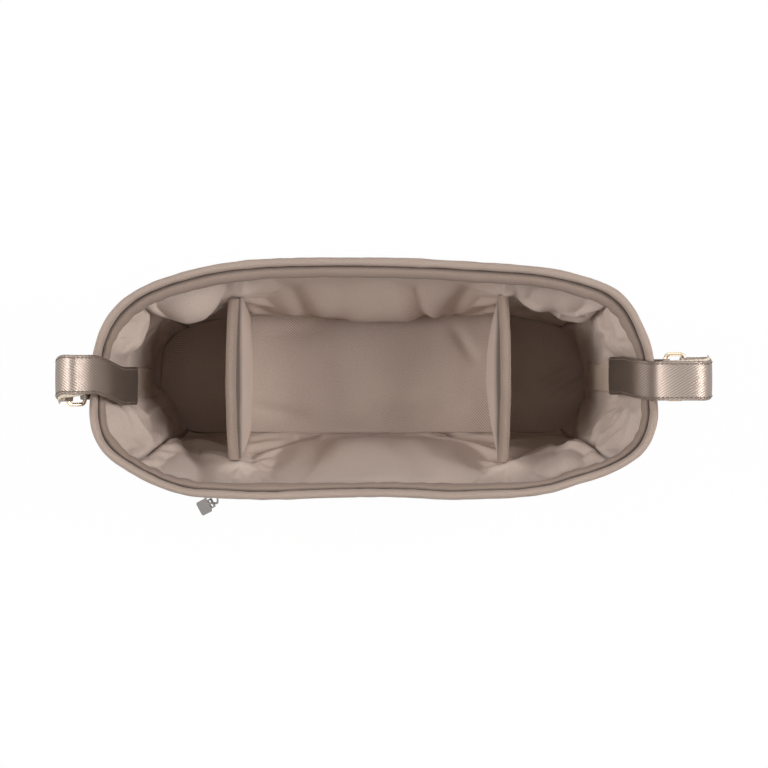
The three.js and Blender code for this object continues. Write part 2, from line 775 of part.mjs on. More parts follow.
// A flat ribbon along points, its width along Y
function ribbon(points, width, thickness) {
  const widthways = new THREE.Vector3(0, width / 2, 0);
  return skin(points.map((p, i) => {
    const before = points[Math.max(i - 1, 0)];
    const after = points[Math.min(i + 1, points.length - 1)];
    const along = new THREE.Vector3(after.x - before.x, 0, after.z - before.z);
    const across = along.cross(new THREE.Vector3(0, 1, 0)).setLength(thickness / 2);
    return [
      p.clone().add(across).add(widthways),
      p.clone().add(across).sub(widthways),
      p.clone().sub(across).sub(widthways),
      p.clone().sub(across).add(widthways),
    ];
  }), false);
}

function smooth(points, stepsPerPoint) {
  const curve = new THREE.CatmullRomCurve3(points, false, 'centripetal');
  return curve.getPoints((points.length - 1) * stepsPerPoint);
}

// Places across a ribbon where the wall behind it is measured
const across = (y, width) => [-0.5, -0.25, 0, 0.25, 0.5].map((share) => y + share * width);

// How far out the end wall's inner face is at a height, at the tightest point across a ribbon
function endInner(z, y, width) {
  return Math.min(...across(y, width).map((at) => liningFace('right_end', z, 'y', at, 'x')));
}

// Outer face of the end wall at a height, at the fullest point across a ribbon, by straight facets
function endOuter(z, y, width) {
  const levels = levelsBetween(boardBottom, wallTop);
  const k = Math.max(1, levels.findIndex((level) => level >= z));
  const rowAt = (level) => wallStations(level).right_end.map((s) => wallPoint(s, level, 0));
  const fullest = (level) => {
    const row = rowAt(level);
    return Math.max(...across(y, width).map((at) => crossRow(row, 'y', at, 'x')));
  };
  const low = fullest(levels[k - 1]);
  return low + ((fullest(levels[k]) - low) * (z - levels[k - 1])) / (levels[k] - levels[k - 1]);
}

// One end of the organizer, drawn for the right side and mirrored by its sign
function addEnd(end) {
  const ringY = strapLineY + end.ringShift;
  const topY = strapLineY + end.topShift;
  const legY = strapLineY + end.endShift;
  const place = (out, y, z) => new THREE.Vector3(end.sign * out, y, z);
  const rimLine = crossRow(wallStations(pipingZ).right_end, 'y', strapLineY, 'x');
  const rimEdge = rimLine + pipingRadius - pipingInset;
  const wire = ringWire / 2;
  const eye = wire + barClearance + strapThickness / 2;
  const tilt = THREE.MathUtils.degToRad(end.ringTilt);
  const inner = { out: rimEdge + end.tabReach, z: height - ringDrop };
  const outer = { out: inner.out + ringDepth * Math.cos(tilt), z: inner.z + ringDepth * Math.sin(tilt) };

  // Ring: wire round a rectangle with round corners
  const wireSides = 8;
  const cornerSteps = 3;
  const ringLength = strapWidth + 2 * ringSideClearance + ringWire;
  const centres = [[1, -1], [1, 1], [0, 1], [0, -1]];
  const rings = centres.flatMap(([far, sideways], corner) => {
    const stations = [];
    for (let k = 0; k <= cornerSteps; k += 1) {
      const turn = (corner - 1 + k / cornerSteps) * (Math.PI / 2);
      const a = (far ? ringDepth - ringCorner : ringCorner);
      const b = sideways * (ringLength / 2 - ringCorner);
      const section = [];
      for (let j = 0; j < wireSides; j += 1) {
        const round = (2 * Math.PI * (j + 0.5)) / wireSides;
        const radius = ringCorner + wire * Math.cos(round);
        const flat = a + radius * Math.cos(turn);
        const lift = wire * Math.sin(round);
        section.push(place(
          inner.out + flat * Math.cos(tilt) - lift * Math.sin(tilt),
          ringY + b + radius * Math.sin(turn),
          inner.z + flat * Math.sin(tilt) + lift * Math.cos(tilt),
        ));
      }
      stations.push(section);
    }
    return stations;
  });
  addMesh(`ring_${end.side}`, skin(rings, true), finish(colours.metal, 0.3, 1));

  // Tab: a folded webbing sewn flat on the outer wall, its fold round the ring's inner bar
  const layerStep = strapThickness + gap;
  const onWall = (z, layer) => endOuter(z, ringY, tabWidth) + gap + strapThickness / 2 + layer * layerStep;
  const tabBottom = height - tabDrop;
  const tabLift = height - tabSewnDrop;
  const tabMiddle = (tabBottom + tabLift) / 2;
  const backLayer = (z, ease) => [onWall(z, 0) + ease, z];
  const topLayer = (z, ease) => [onWall(z, 1) + ease, z];
  const roundBar = (turn) => [
    inner.out + eye * Math.cos(turn * Math.PI),
    inner.z + eye * Math.sin(turn * Math.PI),
  ];
  const neckBack = inner.out - eye - tabNeckRoom;
  const tabRoute = [
    backLayer(tabBottom, 0),
    backLayer(tabMiddle, 0),
    backLayer(tabLift, tabEase),
    [neckBack, inner.z - tabNeckDrop],
    ...[1, 0.75, 0.5, 0.25, 0, -0.25].map(roundBar),
    [neckBack + strapThickness + gap + eye, inner.z - tabNeckDrop - tabNeckRoom],
    topLayer(tabLift - 2 * tabSwell, tabSwell),
    topLayer(tabMiddle, tabEase),
    topLayer(tabBottom + tabHemStep, tabEase),
  ].map(([out, z]) => place(out, ringY, z));
  const tab = ribbon(smooth(tabRoute, 2), tabWidth, strapThickness);
  addMesh(`tab_${end.side}`, tab, finish(colours.webbing, 0.6));

  // Loop patch on the lining, hook strip on the strap's leg, and the strap itself
  const patchDepth = gap + patchThickness / 2;
  const hookDepth = patchDepth + patchThickness / 2 + gap + hookThickness / 2;
  const strapDepth = hookDepth + hookThickness / 2 + gap + strapThickness / 2;
  const onLining = (from, to, depth, y, width) => [0, 0.25, 0.5, 0.75, 1].map((share) => {
    const z = from + (to - from) * share;
    return place(endInner(z, y, width) - depth, y, z);
  });
  const patchY = strapLineY + end.endShift / 2;
  const patchRoute = onLining(height - patchDrop, patchBottom, patchDepth + gap, patchY, patchWidth);
  const patch = ribbon(patchRoute, patchWidth, patchThickness);
  addMesh(`loop_patch_${end.side}`, patch, finish(colours.loop, 1));

  const leave = THREE.MathUtils.degToRad(end.leaveAngle);
  const fromBar = (along, across, y) => place(
    outer.out + along * Math.cos(leave) - across * Math.sin(leave),
    y,
    outer.z + along * Math.sin(leave) + across * Math.cos(leave),
  );
  const legEnd = height - legDrop;
  const legTop = legEnd + hookLength;
  const legRoom = strapDepth + gap * 2;
  const legOut = (z) => endInner(z, legY, strapWidth) - legRoom;
  const loopOut = rimEdge + end.loopReach - strapThickness / 2;
  const loopTop = height + end.loopRise;
  const halfway = (outer.z + loopTop) / 2;
  const middleY = (ringY + topY) / 2;
  const strapRoute = [
    fromBar(sewnLength - gap, eye - strapThickness - gap, ringY),
    fromBar(sewnStart, -eye / 2, ringY),
    ...[-0.5, -0.75, -1, -1.25, -1.5].map((turn) => fromBar(
      eye * Math.cos(turn * Math.PI),
      eye * Math.sin(turn * Math.PI),
      ringY,
    )),
    fromBar(sewnStart, eye, ringY),
    fromBar(sewnLength, eye, ringY),
    place(loopOut - flankIn, ringY, halfway - flankDown),
    place(loopOut, middleY, halfway + bulgeUp),
    place(loopOut - bendIn, topY, loopTop - bendDown),
    place(loopOut - crownIn, topY, loopTop),
    place(rimEdge + overRimOut, topY, loopTop - overRimDown),
    place(rimEdge - pastRimIn, topY, loopTop - pastRimDown),
    place(legOut(wallTop) + restIn, (topY + legY) / 2, wallTop + restUp),
    place(legOut(facingBottom), legY, facingBottom),
    ...[0, 0.5, 1].map((share) => {
      const z = legTop + (legEnd - legTop) * share;
      return place(legOut(z), legY, z);
    }),
  ];
  const strap = ribbon(smooth(strapRoute, 2), strapWidth, strapThickness);
  addMesh(`strap_${end.side}`, strap, finish(colours.webbing, 0.5));
  const hookRoute = [0, 0.33, 0.66, 1].map((share) => {
    const z = legTop - hookMargin + (legEnd - legTop + 2 * hookMargin) * share;
    return place(legOut(z) + strapThickness / 2 + gap + hookThickness / 2, legY, z);
  });
  addMesh(`hook_strip_${end.side}`, ribbon(hookRoute, hookWidth, hookThickness), finish(colours.loop, 1));
}

addTub();
addRim();
addDivider('left', -dividerX);
addDivider('right', dividerX);
addZip();
addEnd({
  side: 'left',
  sign: -1,
  tabReach: leftTabReach,
  ringTilt: leftRingTilt,
  leaveAngle: leftLeaveAngle,
  loopReach: leftLoopReach,
  loopRise: leftLoopRise,
  ringShift: leftRingShift,
  topShift: leftTopShift,
  endShift: leftEndShift,
});
addEnd({
  side: 'right',
  sign: 1,
  tabReach: rightTabReach,
  ringTilt: rightRingTilt,
  leaveAngle: rightLeaveAngle,
  loopReach: rightLoopReach,
  loopRise: rightLoopRise,
  ringShift: rightRingShift,
  topShift: rightTopShift,
  endShift: rightEndShift,
});

export default organizer;
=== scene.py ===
"""Looks of a stroller organizer: a soft padded tub with a billowing lining, two sewn dividers, a rolled rim,
a zipped front pocket and a webbing strap on a metal ring at each end."""

import json
import math
from contextlib import contextmanager

import bpy
import numpy as np
from bpy.props import FloatProperty, FloatVectorProperty, PointerProperty
from mathutils import Matrix, Vector, noise
from mathutils.bvhtree import BVHTree


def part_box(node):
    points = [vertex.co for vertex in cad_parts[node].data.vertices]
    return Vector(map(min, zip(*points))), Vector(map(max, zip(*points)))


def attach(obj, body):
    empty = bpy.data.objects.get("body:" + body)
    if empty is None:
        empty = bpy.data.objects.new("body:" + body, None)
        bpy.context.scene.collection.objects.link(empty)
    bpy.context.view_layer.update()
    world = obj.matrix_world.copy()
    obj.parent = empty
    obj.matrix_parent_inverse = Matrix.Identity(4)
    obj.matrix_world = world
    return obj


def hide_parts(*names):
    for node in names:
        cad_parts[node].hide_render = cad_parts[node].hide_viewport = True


bl_info = {
    "name": "Stroller organizer",
    "version": (1, 0, 0),
    "blender": (4, 5, 0),
    "location": "View3D > Sidebar > Organizer",
    "description": "Builds the soft pieces, metal parts, finishes and stage of a stroller organizer",
    "category": "Object",
}

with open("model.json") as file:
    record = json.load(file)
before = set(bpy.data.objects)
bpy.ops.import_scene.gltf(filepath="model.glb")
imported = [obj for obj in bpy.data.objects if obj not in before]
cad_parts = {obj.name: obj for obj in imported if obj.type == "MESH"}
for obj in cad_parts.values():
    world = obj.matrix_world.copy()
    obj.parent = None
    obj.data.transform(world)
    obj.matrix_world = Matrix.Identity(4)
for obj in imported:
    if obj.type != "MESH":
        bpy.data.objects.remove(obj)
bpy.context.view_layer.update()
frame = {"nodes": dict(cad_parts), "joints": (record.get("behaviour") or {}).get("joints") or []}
TUB = "tub"
MM = 0.001


class OrganizerSizes(bpy.types.PropertyGroup):
    """Sizes that a user would change."""

    def length(label, note, value):
        """A length in metres."""
        return FloatProperty(name=label, description=note, default=value, unit="LENGTH")

    def number(label, note, value):
        """A plain number."""
        return FloatProperty(name=label, description=note, default=value)

    billow: number("Lining billow", "Share of the drawn swell of the lining", 1.0)
    tent: length("Divider pull", "How far a divider draws the front lining in", 0.0095)
    divider_bulge: length("Divider bulge", "How far a divider swells to the middle", 0.0055)
    ease: number("Lining ease", "Share by which the lining is cut larger than the wall", 0.06)
    camera_height: length("Camera height", "Camera's height over the floor", 1.929)
    lens: number("Lens", "Focal length in millimetres", 133.0)


class OrganizerColours(bpy.types.PropertyGroup):
    """Colours that a user would change."""

    def tint(label, note, colour):
        """A colour in linear light."""
        return FloatVectorProperty(
            name=label, description=note, default=colour, subtype="COLOR", size=3, min=0, max=1
        )

    shell: tint("Shell", "Outer fabric and rim roll", (0.366, 0.284, 0.238))
    facing: tint("Facing", "Band inside the rim", (0.298, 0.224, 0.184))
    lining: tint("Lining", "Satin twill lining", (0.515, 0.416, 0.359))
    webbing: tint("Webbing", "Strap webbing", (0.282, 0.229, 0.196))
    hook: tint("Hook strip", "Cream hook strip on a strap", (0.640, 0.540, 0.430))
    pile: tint("Loop patch", "Tan loop patch on the lining", (0.500, 0.390, 0.315))
    tape: tint("Zip tape", "Woven tape of the zip", (0.250, 0.185, 0.150))
    teeth: tint("Zip teeth", "Moulded teeth of the zip", (0.270, 0.205, 0.170))
    ring: tint("Ring", "Pale gold ring", (0.760, 0.620, 0.455))
    puller: tint("Puller", "Grey metal of slider and puller", (0.260, 0.242, 0.230))
    floor: tint("Floor", "Studio floor", (0.900, 0.900, 0.900))


def sizes():
    """The organizer's sizes."""
    return bpy.context.scene.organizer_sizes


def colours():
    """The organizer's colours."""
    return bpy.context.scene.organizer_colours


# The tub's outline, in millimetres, as in the solids: base and rim values mixed by height
HEIGHT = 140.0
DIVIDER_X = 87.0
BASE = {
    "half": 150.0, "back": 46.0, "front": -46.0, "widest": -12.0,
    "run": 34.0, "end": 23.0, "corner": 2.0, "power": 4.0,
}
RIM = {
    "half": 178.5, "back": 72.5, "front": -80.5, "widest": -24.0,
    "run": 67.0, "end": 23.5, "corner": 1.74, "power": 3.45,
}
FLARE = 1.6

# Stations on each stretch of half the outline: front to the divider, on to the corner, the corner to its
# seam, the end to its widest place, on to the back seam, back to the divider and on to the middle
SEGMENTS = (46, 12, 22, 16, 24, 32, 44)
MARKS = np.cumsum((0,) + SEGMENTS)
HALF = int(MARKS[-1])
AROUND = 2 * HALF


def outline(z):
    """The outline's values at a height. The walls flare out fastest near the base."""
    rise = 1 - (1 - min(max(z / HEIGHT, 0.0), 1.0)) ** FLARE
    return {key: BASE[key] + (RIM[key] - BASE[key]) * rise for key in BASE}


def run_of(points):
    """The distance along a polyline to each of its points."""
    return np.concatenate([[0], np.cumsum(np.linalg.norm(np.diff(points, axis=0), axis=1))])


def places_at(at, run, points):
    """The places at distances along a polyline."""
    return np.stack([np.interp(at, run, column) for column in points.T], axis=1)


def resample(points, count):
    """Evenly spaced points along a polyline, without its last point."""
    run = run_of(points)
    return places_at(np.linspace(0, run[-1], count + 1)[:-1], run, points)


def cut_at(points, x):
    """Splits a polyline where it crosses a value of x."""
    side = points[:, 0] > x
    i = int(np.flatnonzero(side[:-1] != side[1:])[0])
    a, b = points[i], points[i + 1]
    middle = a + (b - a) * (x - a[0]) / (b[0] - a[0])
    return np.vstack([points[: i + 1], middle]), np.vstack([middle, points[i + 1 :]])


def smoothstep(x, low, high):
    """A smooth ramp from 0 at low to 1 at high."""
    t = np.clip((np.asarray(x, float) - low) / (high - low), 0, 1)
    return t * t * (3 - 2 * t)


# Dents of the soft wall, and bumps where the depth is negative: depth, x, y and reach in millimetres
SLUMPS = (
    (5.3, 128.5, -77, 26), (1.4, -130, -76, 28), (1.0, 0, -80, 36), (-0.9, -68, -80, 22), (-0.9, 48, -80, 17),
    (-3.4, 171, -47, 18), (-3.3, -171, -47, 18), (-1.0, 178, -24, 14), (-0.9, -178, -10, 30),
    (2.1, 72, 70, 46), (1.3, -128, 62, 30), (-1.6, 153, 52, 16), (0.9, 172, 28, 12),
)
# Heights over which the dents and the zip's lean grow, and the x and height over which the zip's stretch of
# the front wall fades out
DENT_RISE = (20, 134)
LEAN_RISE = (20, 105)
ZIP_FADE_X = (-122, -112)
ZIP_FADE_Z = (124, 134)
FRONT_Y = -60
# The zip's far end, past the slider's reach, leans in with the dented corner
BEND_DEPTH = 3.6
BEND_START = 102.5
BEND_END = 116.0


def zip_bend(x):
    """How far the zip leans in at a place along it, in millimetres."""
    return BEND_DEPTH * smoothstep(x, BEND_START, BEND_END)


def soft_dent(p, z):
    """How far the soft wall sits in from the drawn outline, in millimetres: dents and bumps round places."""
    dent = sum(d * np.exp(-(((p[:, 0] - x) ** 2 + (p[:, 1] - y) ** 2) / r**2)) for d, x, y, r in SLUMPS)
    dent = dent * smoothstep(z, *DENT_RISE)
    along = smoothstep(-np.abs(p[:, 0]), *ZIP_FADE_X)
    zipped = (p[:, 1] < FRONT_Y) * along * (1 - smoothstep(z, *ZIP_FADE_Z))
    level = zip_bend(p[:, 0]) * smoothstep(z, *LEAN_RISE)
    return dent + zipped * (level - dent)


_rings = {}


def ring(z):
    """Points and outward normals round the tub at a height, counter-clockwise from the front's middle."""
    key = round(z, 3)
    if key not in _rings:
        o = outline(z)
        flat, seam = o["half"] - o["run"], o["half"] - o["end"]
        turn = np.linspace(0, math.pi / 2, 240)
        corner = np.stack([
            flat + o["run"] * np.sin(turn) ** (2 / o["corner"]),
            o["widest"] - (o["widest"] - o["front"]) * np.clip(np.cos(turn), 0, 1) ** (2 / o["corner"]),
        ], axis=1)
        back = np.stack([
            o["half"] * np.clip(np.cos(turn), 0, 1) ** (2 / o["power"]),
            o["widest"] + (o["back"] - o["widest"]) * np.sin(turn) ** (2 / o["power"]),
        ], axis=1)
        corner_front, corner_end = cut_at(corner, seam)
        end_back, rest = cut_at(back, seam)
        back_out, back_mid = cut_at(rest, DIVIDER_X)
        front = o["front"]
        parts = (
            np.array([[0, front], [DIVIDER_X, front]]),
            np.array([[DIVIDER_X, front], [flat, front]]),
            corner_front, corner_end, end_back, back_out, back_mid,
        )
        right = np.vstack([resample(part, n) for part, n in zip(parts, SEGMENTS)])
        tip = np.array([[0, o["back"]]])
        loop = np.vstack([right, tip, right[:0:-1] * (-1, 1)])
        along = np.roll(loop, -1, axis=0) - np.roll(loop, 1, axis=0)
        normal = np.stack([along[:, 1], -along[:, 0]], axis=1)
        normal /= np.linalg.norm(normal, axis=1)[:, None]
        _rings[key] = loop - normal * soft_dent(loop, z)[:, None], normal
    return _rings[key]


def wall_row(z, inset):
    """One row of points round the tub, set in from the outer face by a number or one number per station."""
    loop, normal = ring(z)
    inner = loop - normal * np.broadcast_to(np.asarray(inset, float), (AROUND,))[:, None]
    return np.column_stack([inner, np.full(AROUND, float(z))])


def closed_row(row):
    """A row of points round the tub with its first point again at its end."""
    return np.vstack([row, row[:1]])


def waves(points, size, seed, octaves=2):
    """Smooth noise from -1 to 1 at points given in millimetres."""
    shift = Vector((seed * 17.3, seed * 5.1, seed * 9.7))
    return np.array([noise.fractal(Vector(p) / size + shift, 1.0, 2.0, octaves) for p in points])


# Meshes
def new_piece(name, points, faces):
    """A smooth mesh from points in metres and faces."""
    mesh = bpy.data.meshes.new(name)
    mesh.from_pydata(points, [], faces)
    mesh.polygons.foreach_set("use_smooth", np.ones(len(mesh.polygons), bool))
    mesh.update()
    piece = bpy.data.objects.new(name, mesh)
    bpy.context.scene.collection.objects.link(piece)
    return piece


def loft(name, rows, closed=True, inside=False, shade=None):
    """A sheet through rows of points in millimetres, with a UV map in metres and a shade attribute."""
    rows = np.asarray(rows, float) * MM
    levels, count = rows.shape[:2]
    columns = count if closed else count - 1
    i, j = np.meshgrid(np.arange(levels - 1), np.arange(columns), indexing="ij")
    order = [(0, 0), (0, 1), (1, 1), (1, 0)]
    if inside:
        order.reverse()
    faces = np.stack([((i + di) * count + (j + dj) % count).ravel() for di, dj in order], axis=1)
    piece = new_piece(name, rows.reshape(-1, 3).tolist(), faces.tolist())
    along = np.linalg.norm(np.roll(rows, -1, axis=1) - rows, axis=2).mean(axis=0)
    u = np.concatenate([[0], np.cumsum(along)])
    down = np.linalg.norm(np.diff(rows, axis=0), axis=2).mean(axis=1)
    v = np.concatenate([[0], np.cumsum(down)])
    corners = [np.stack([u[(j + dj).ravel()], v[(i + di).ravel()]], axis=1) for di, dj in order]
    uv = np.stack(corners, axis=1)
    layer = piece.data.uv_layers.new(name="weave")
    layer.data.foreach_set("uv", uv.astype(np.float32).ravel())
    mark = piece.data.attributes.new("shade", "FLOAT", "POINT")
    if shade is not None:
        mark.data.foreach_set("value", np.asarray(shade, np.float32).ravel())
    return piece


# Thickness of each cloth in millimetres
LINING_CLOTH = 0.7
LINING_FLOOR_CLOTH = 0.8
OUTER_CLOTH = 1.3
OUTER_FLOOR_CLOTH = 1.2
FACING_CLOTH = 0.9
BINDING_CLOTH = 0.8
ZIP_CLOTH = 0.5


def thicken(piece, thickness, offset, rounds=1):
    """Cloth thickness in millimetres, then a smooth subdivision. Offset -1 grows to the back of the faces."""
    wall = piece.modifiers.new("cloth", "SOLIDIFY")
    wall.thickness = thickness * MM
    wall.offset = offset
    wall.use_even_offset = False
    if rounds:
        soften(piece, rounds)
    return piece


def dress(piece, material, body, slot, *nodes):
    """Gives a piece its finish and its body, and hides the solids it stands for."""
    piece.data.materials.clear()
    piece.data.materials.append(material)
    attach(piece, body)
    if nodes:
        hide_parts(*nodes)
    return piece


def deselect():
    """Leaves edit mode and selects nothing."""
    if bpy.context.object and bpy.context.object.mode != "OBJECT":
        bpy.ops.object.mode_set(mode="OBJECT")
    bpy.ops.object.select_all(action="DESELECT")


@contextmanager
def editing(piece, kind=None, wanted=None):
    """Edit mode on one piece, with all of it selected or only those faces or points that are wanted."""
    deselect()
    bpy.context.view_layer.objects.active = piece
    piece.select_set(True)
    bpy.ops.object.mode_set(mode="EDIT")
    bpy.ops.mesh.select_all(action="DESELECT" if wanted else "SELECT")
    if wanted:
        bpy.ops.object.mode_set(mode="OBJECT")
        for element in getattr(piece.data, kind):
            element.select = wanted(element)
        bpy.ops.object.mode_set(mode="EDIT")
    yield
    bpy.ops.object.mode_set(mode="OBJECT")


def soften(piece, rounds=1):
    """A smooth subdivision."""
    soft = piece.modifiers.new("soft", "SUBSURF")
    soft.levels = soft.render_levels = rounds


def points_of(piece):
    """A piece's points in metres."""
    points = np.empty(3 * len(piece.data.vertices), np.float32)
    piece.data.vertices.foreach_get("co", points)
    return points.reshape(-1, 3)


def ray_table(piece):
    """A ray caster on a piece's own mesh."""
    mesh = piece.data
    places = [vertex.co.copy() for vertex in mesh.vertices]
    return BVHTree.FromPolygons(places, [list(face.vertices) for face in mesh.polygons])


def hit(table, start, direction):
    """Where a ray from a point in millimetres meets the table, in millimetres."""
    found = table.ray_cast(Vector(start) * MM, Vector(direction))[0]
    if found is None:
        raise RuntimeError(f"no cloth found from {start} along {direction}")
    return found / MM


def stitches(name, centres, along, out, length, width, proud):
    """Thread stitches: one rounded closed stitch copied to each place."""
    profile = [(-0.5, 0.0), (-0.3, 1.0), (0.3, 1.0), (0.5, 0.0)]
    verts, faces = [], []
    for c, t, n in zip(centres, along, out):
        n = n - t * (n @ t)
        n = n / np.linalg.norm(n)
        b = np.cross(n, t)
        first = len(verts)
        for share, rise in profile:
            for w in (-0.5, 0.0, 0.5):
                crest = proud * rise * (w == 0)
                verts.append((c + t * share * length + b * w * width + n * (crest - 0.1)) * MM)
        for i in range(3):
            for k in range(2):
                a = first + 3 * i + k
                faces.append((a, a + 3, a + 4, a + 1))
        faces.append(tuple(first + i for i in (0, 1, 2, 5, 8, 11, 10, 9, 6, 3)))
    piece = new_piece(name, [tuple(v) for v in verts], faces)
    piece.data.uv_layers.new(name="weave")
    return piece


def spaced(route, pitch):
    """Places every pitch along a route, with their directions."""
    run = run_of(route)
    at = np.arange(pitch / 2, run[-1], pitch)
    points, ahead, behind = (places_at(at + step, run, route) for step in (0, 0.4, -0.4))
    along = ahead - behind
    return points, along / np.linalg.norm(along, axis=1)[:, None]


def sew(name, routes, outs, body, slot, pitch=3.2, length=2.3, width=0.55, proud=0.28):
    """Rows of stitches along routes in millimetres, each with one outward direction or one per point."""
    rows = []
    for route, out in zip(routes, outs):
        centres, along = spaced(route, pitch)
        out = np.broadcast_to(np.asarray(out, float), route.shape)
        nearest = [int(np.argmin(np.linalg.norm(route - c, axis=1))) for c in centres]
        rows.append((centres, along, out[nearest]))
    centres, along, out = (np.vstack(part) for part in zip(*rows))
    thread = stitches(name, centres, along, out, length, width, proud)
    return dress(thread, finish("strap_thread"), body, slot)


# Finishes
class Socket:
    """A shader socket that takes part in Python sums."""

    def __init__(self, paint, socket):
        self.paint = paint
        self.socket = socket

    def math(self, operation, first, second=None):
        """A Math node on one or two values."""
        values = {0: first} if second is None else {0: first, 1: second}
        return self.paint.add("Math", {"operation": operation}, values)

    def __add__(self, other):
        return self.math("ADD", self, other)

    __radd__ = __add__

    def __sub__(self, other):
        return self.math("SUBTRACT", self, other)

    def __rsub__(self, other):
        return self.math("SUBTRACT", other, self)

    def __mul__(self, other):
        return self.math("MULTIPLY", self, other)

    __rmul__ = __mul__

    def sine(self):
        """The value's sine."""
        return self.math("SINE", self)

    def above(self, low, high):
        """0 below low, 1 above high and a ramp between."""
        return self.paint.add("MapRange", {"clamp": True}, {"Value": self, "From Min": low, "From Max": high})


class Paint:
    """Builds the nodes of one material or of the world."""

    def __init__(self, owner, shader="Principled BSDF"):
        self.owner = owner
        owner.use_nodes = True
        self.tree = owner.node_tree
        self.shader = self.tree.nodes[shader]

    def add(self, kind, settings=None, sockets=None, out=0):
        """A new node with its settings and inputs, as one of its output sockets."""
        node = self.tree.nodes.new("ShaderNode" + kind)
        for key, value in (settings or {}).items():
            setattr(node, key, value)
        for key, value in (sockets or {}).items():
            self.feed(node.inputs[key], value)
        return Socket(self, node.outputs[out])

    def feed(self, socket, value):
        """Links a socket to another one, or sets its value."""
        if isinstance(value, Socket):
            self.tree.links.new(value.socket, socket)
        else:
            socket.default_value = value

    def set(self, **sockets):
        """Feeds the shader's inputs, named with underscores for spaces."""
        for key, value in sockets.items():
            self.feed(self.shader.inputs[key.replace("_", " ")], value)

    def tinted(self, colour, tone):
        """A colour times a tone."""
        return self.add("VectorMath", {"operation": "SCALE"}, {"Vector": colour, "Scale": tone})

    def bump(self, height, strength, distance):
        """A normal from a height."""
        return self.add("Bump", None, {"Height": height, "Strength": strength, "Distance": distance})

    def seen(self):
        """1 for a camera, glossy or transmission ray."""
        path = self.add("LightPath", out="Is Camera Ray").socket.node.outputs
        camera, glossy, through = (
            Socket(self, path[f"Is {kind} Ray"]) for kind in ("Camera", "Glossy", "Transmission")
        )
        return self.add("Math", {"operation": "ADD", "use_clamp": True}, {0: camera, 1: glossy + through})

    def noise(self, where, scale, detail=2.0):
        """Noise between 0 and 1, with a mean of about 0.5."""
        return self.add("TexNoise", None, {"Vector": where, "Scale": scale, "Detail": detail}, "Fac")


# Noise scales of the cloth's clouds, fine flecks and patches of ribs
CLOUD_SCALE = 26.0
FLECK_SCALE = 1050.0
PATCH_SCALE = 17.0


def fabric(
    name, colour, rough, grain=0.2, cloud=0.14, twill=0.0, pitch=1.1, angle=50, sheen=0.06, bump=0.35,
    shine=0.25, metallic=0.0, patches=(0.52, 0.7),
):
    """Cloth: cloudy colour, fine grain, diagonal ribs in patches, and painted shade from the shade attribute.
    """
    p = Paint(bpy.data.materials.new(name))
    where = p.add("TexCoord", out="Object")
    cloth = p.add("UVMap", {"uv_map": "weave"})
    clouds = p.noise(where, CLOUD_SCALE, 3.0)
    fleck = p.noise(cloth, FLECK_SCALE, 2.0)
    tone = 1 + (clouds - 0.5) * cloud + (fleck - 0.5) * grain
    height = fleck * 0.6
    if twill:
        split = p.add("SeparateXYZ", None, {"Vector": cloth})
        u, v = Socket(p, split.socket.node.outputs["X"]), Socket(p, split.socket.node.outputs["Y"])
        turn = math.radians(angle)
        rate = 2 * math.pi / (pitch * MM)
        rib = (u * (rate * math.cos(turn)) + v * (rate * math.sin(turn))).sine()
        patch = p.noise(where, PATCH_SCALE, 1.0).above(*patches)
        tone = tone + rib * (patch * twill)
        height = height + rib * (patch * 0.5)
    # Painted shade: the shade attribute darkens the colour in seam grooves and under the facing's and
    # binding's edges
    seam = p.add("Attribute", {"attribute_name": "shade"}, out="Fac")
    tone = tone * (1 - seam * 0.75)
    p.set(
        Base_Color=p.tinted(colour, tone),
        Roughness=rough + (fleck - 0.5) * 0.12,
        Normal=p.bump(height, bump, 0.0004),
        Sheen_Weight=sheen,
        Specular_IOR_Level=shine,
        Metallic=metallic,
    )
    return p.owner


def metal(name, colour, rough, scratch=0.12):
    """Plated metal with faint cloudy wear."""
    p = Paint(bpy.data.materials.new(name))
    where = p.add("TexCoord", out="Object")
    wear = p.noise(where, 240.0, 3.0)
    fine = p.noise(where, 2600.0, 1.0)
    p.set(
        Base_Color=p.tinted(colour, 1 + (wear - 0.5) * 0.18),
        Roughness=rough + (wear - 0.5) * scratch + (fine - 0.5) * 0.06,
        Metallic=1.0,
        Normal=p.bump(fine, 0.08, 0.0001),
    )
    return p.owner


def plastic(name, colour, rough):
    """Moulded plastic, a little uneven."""
    p = Paint(bpy.data.materials.new(name))
    fine = p.noise(p.add("TexCoord", out="Object"), 900.0, 2.0)
    p.set(
        Base_Color=p.tinted(colour, 1 + (fine - 0.5) * 0.2),
        Roughness=rough + (fine - 0.5) * 0.2,
    )
    return p.owner


_finishes = {}


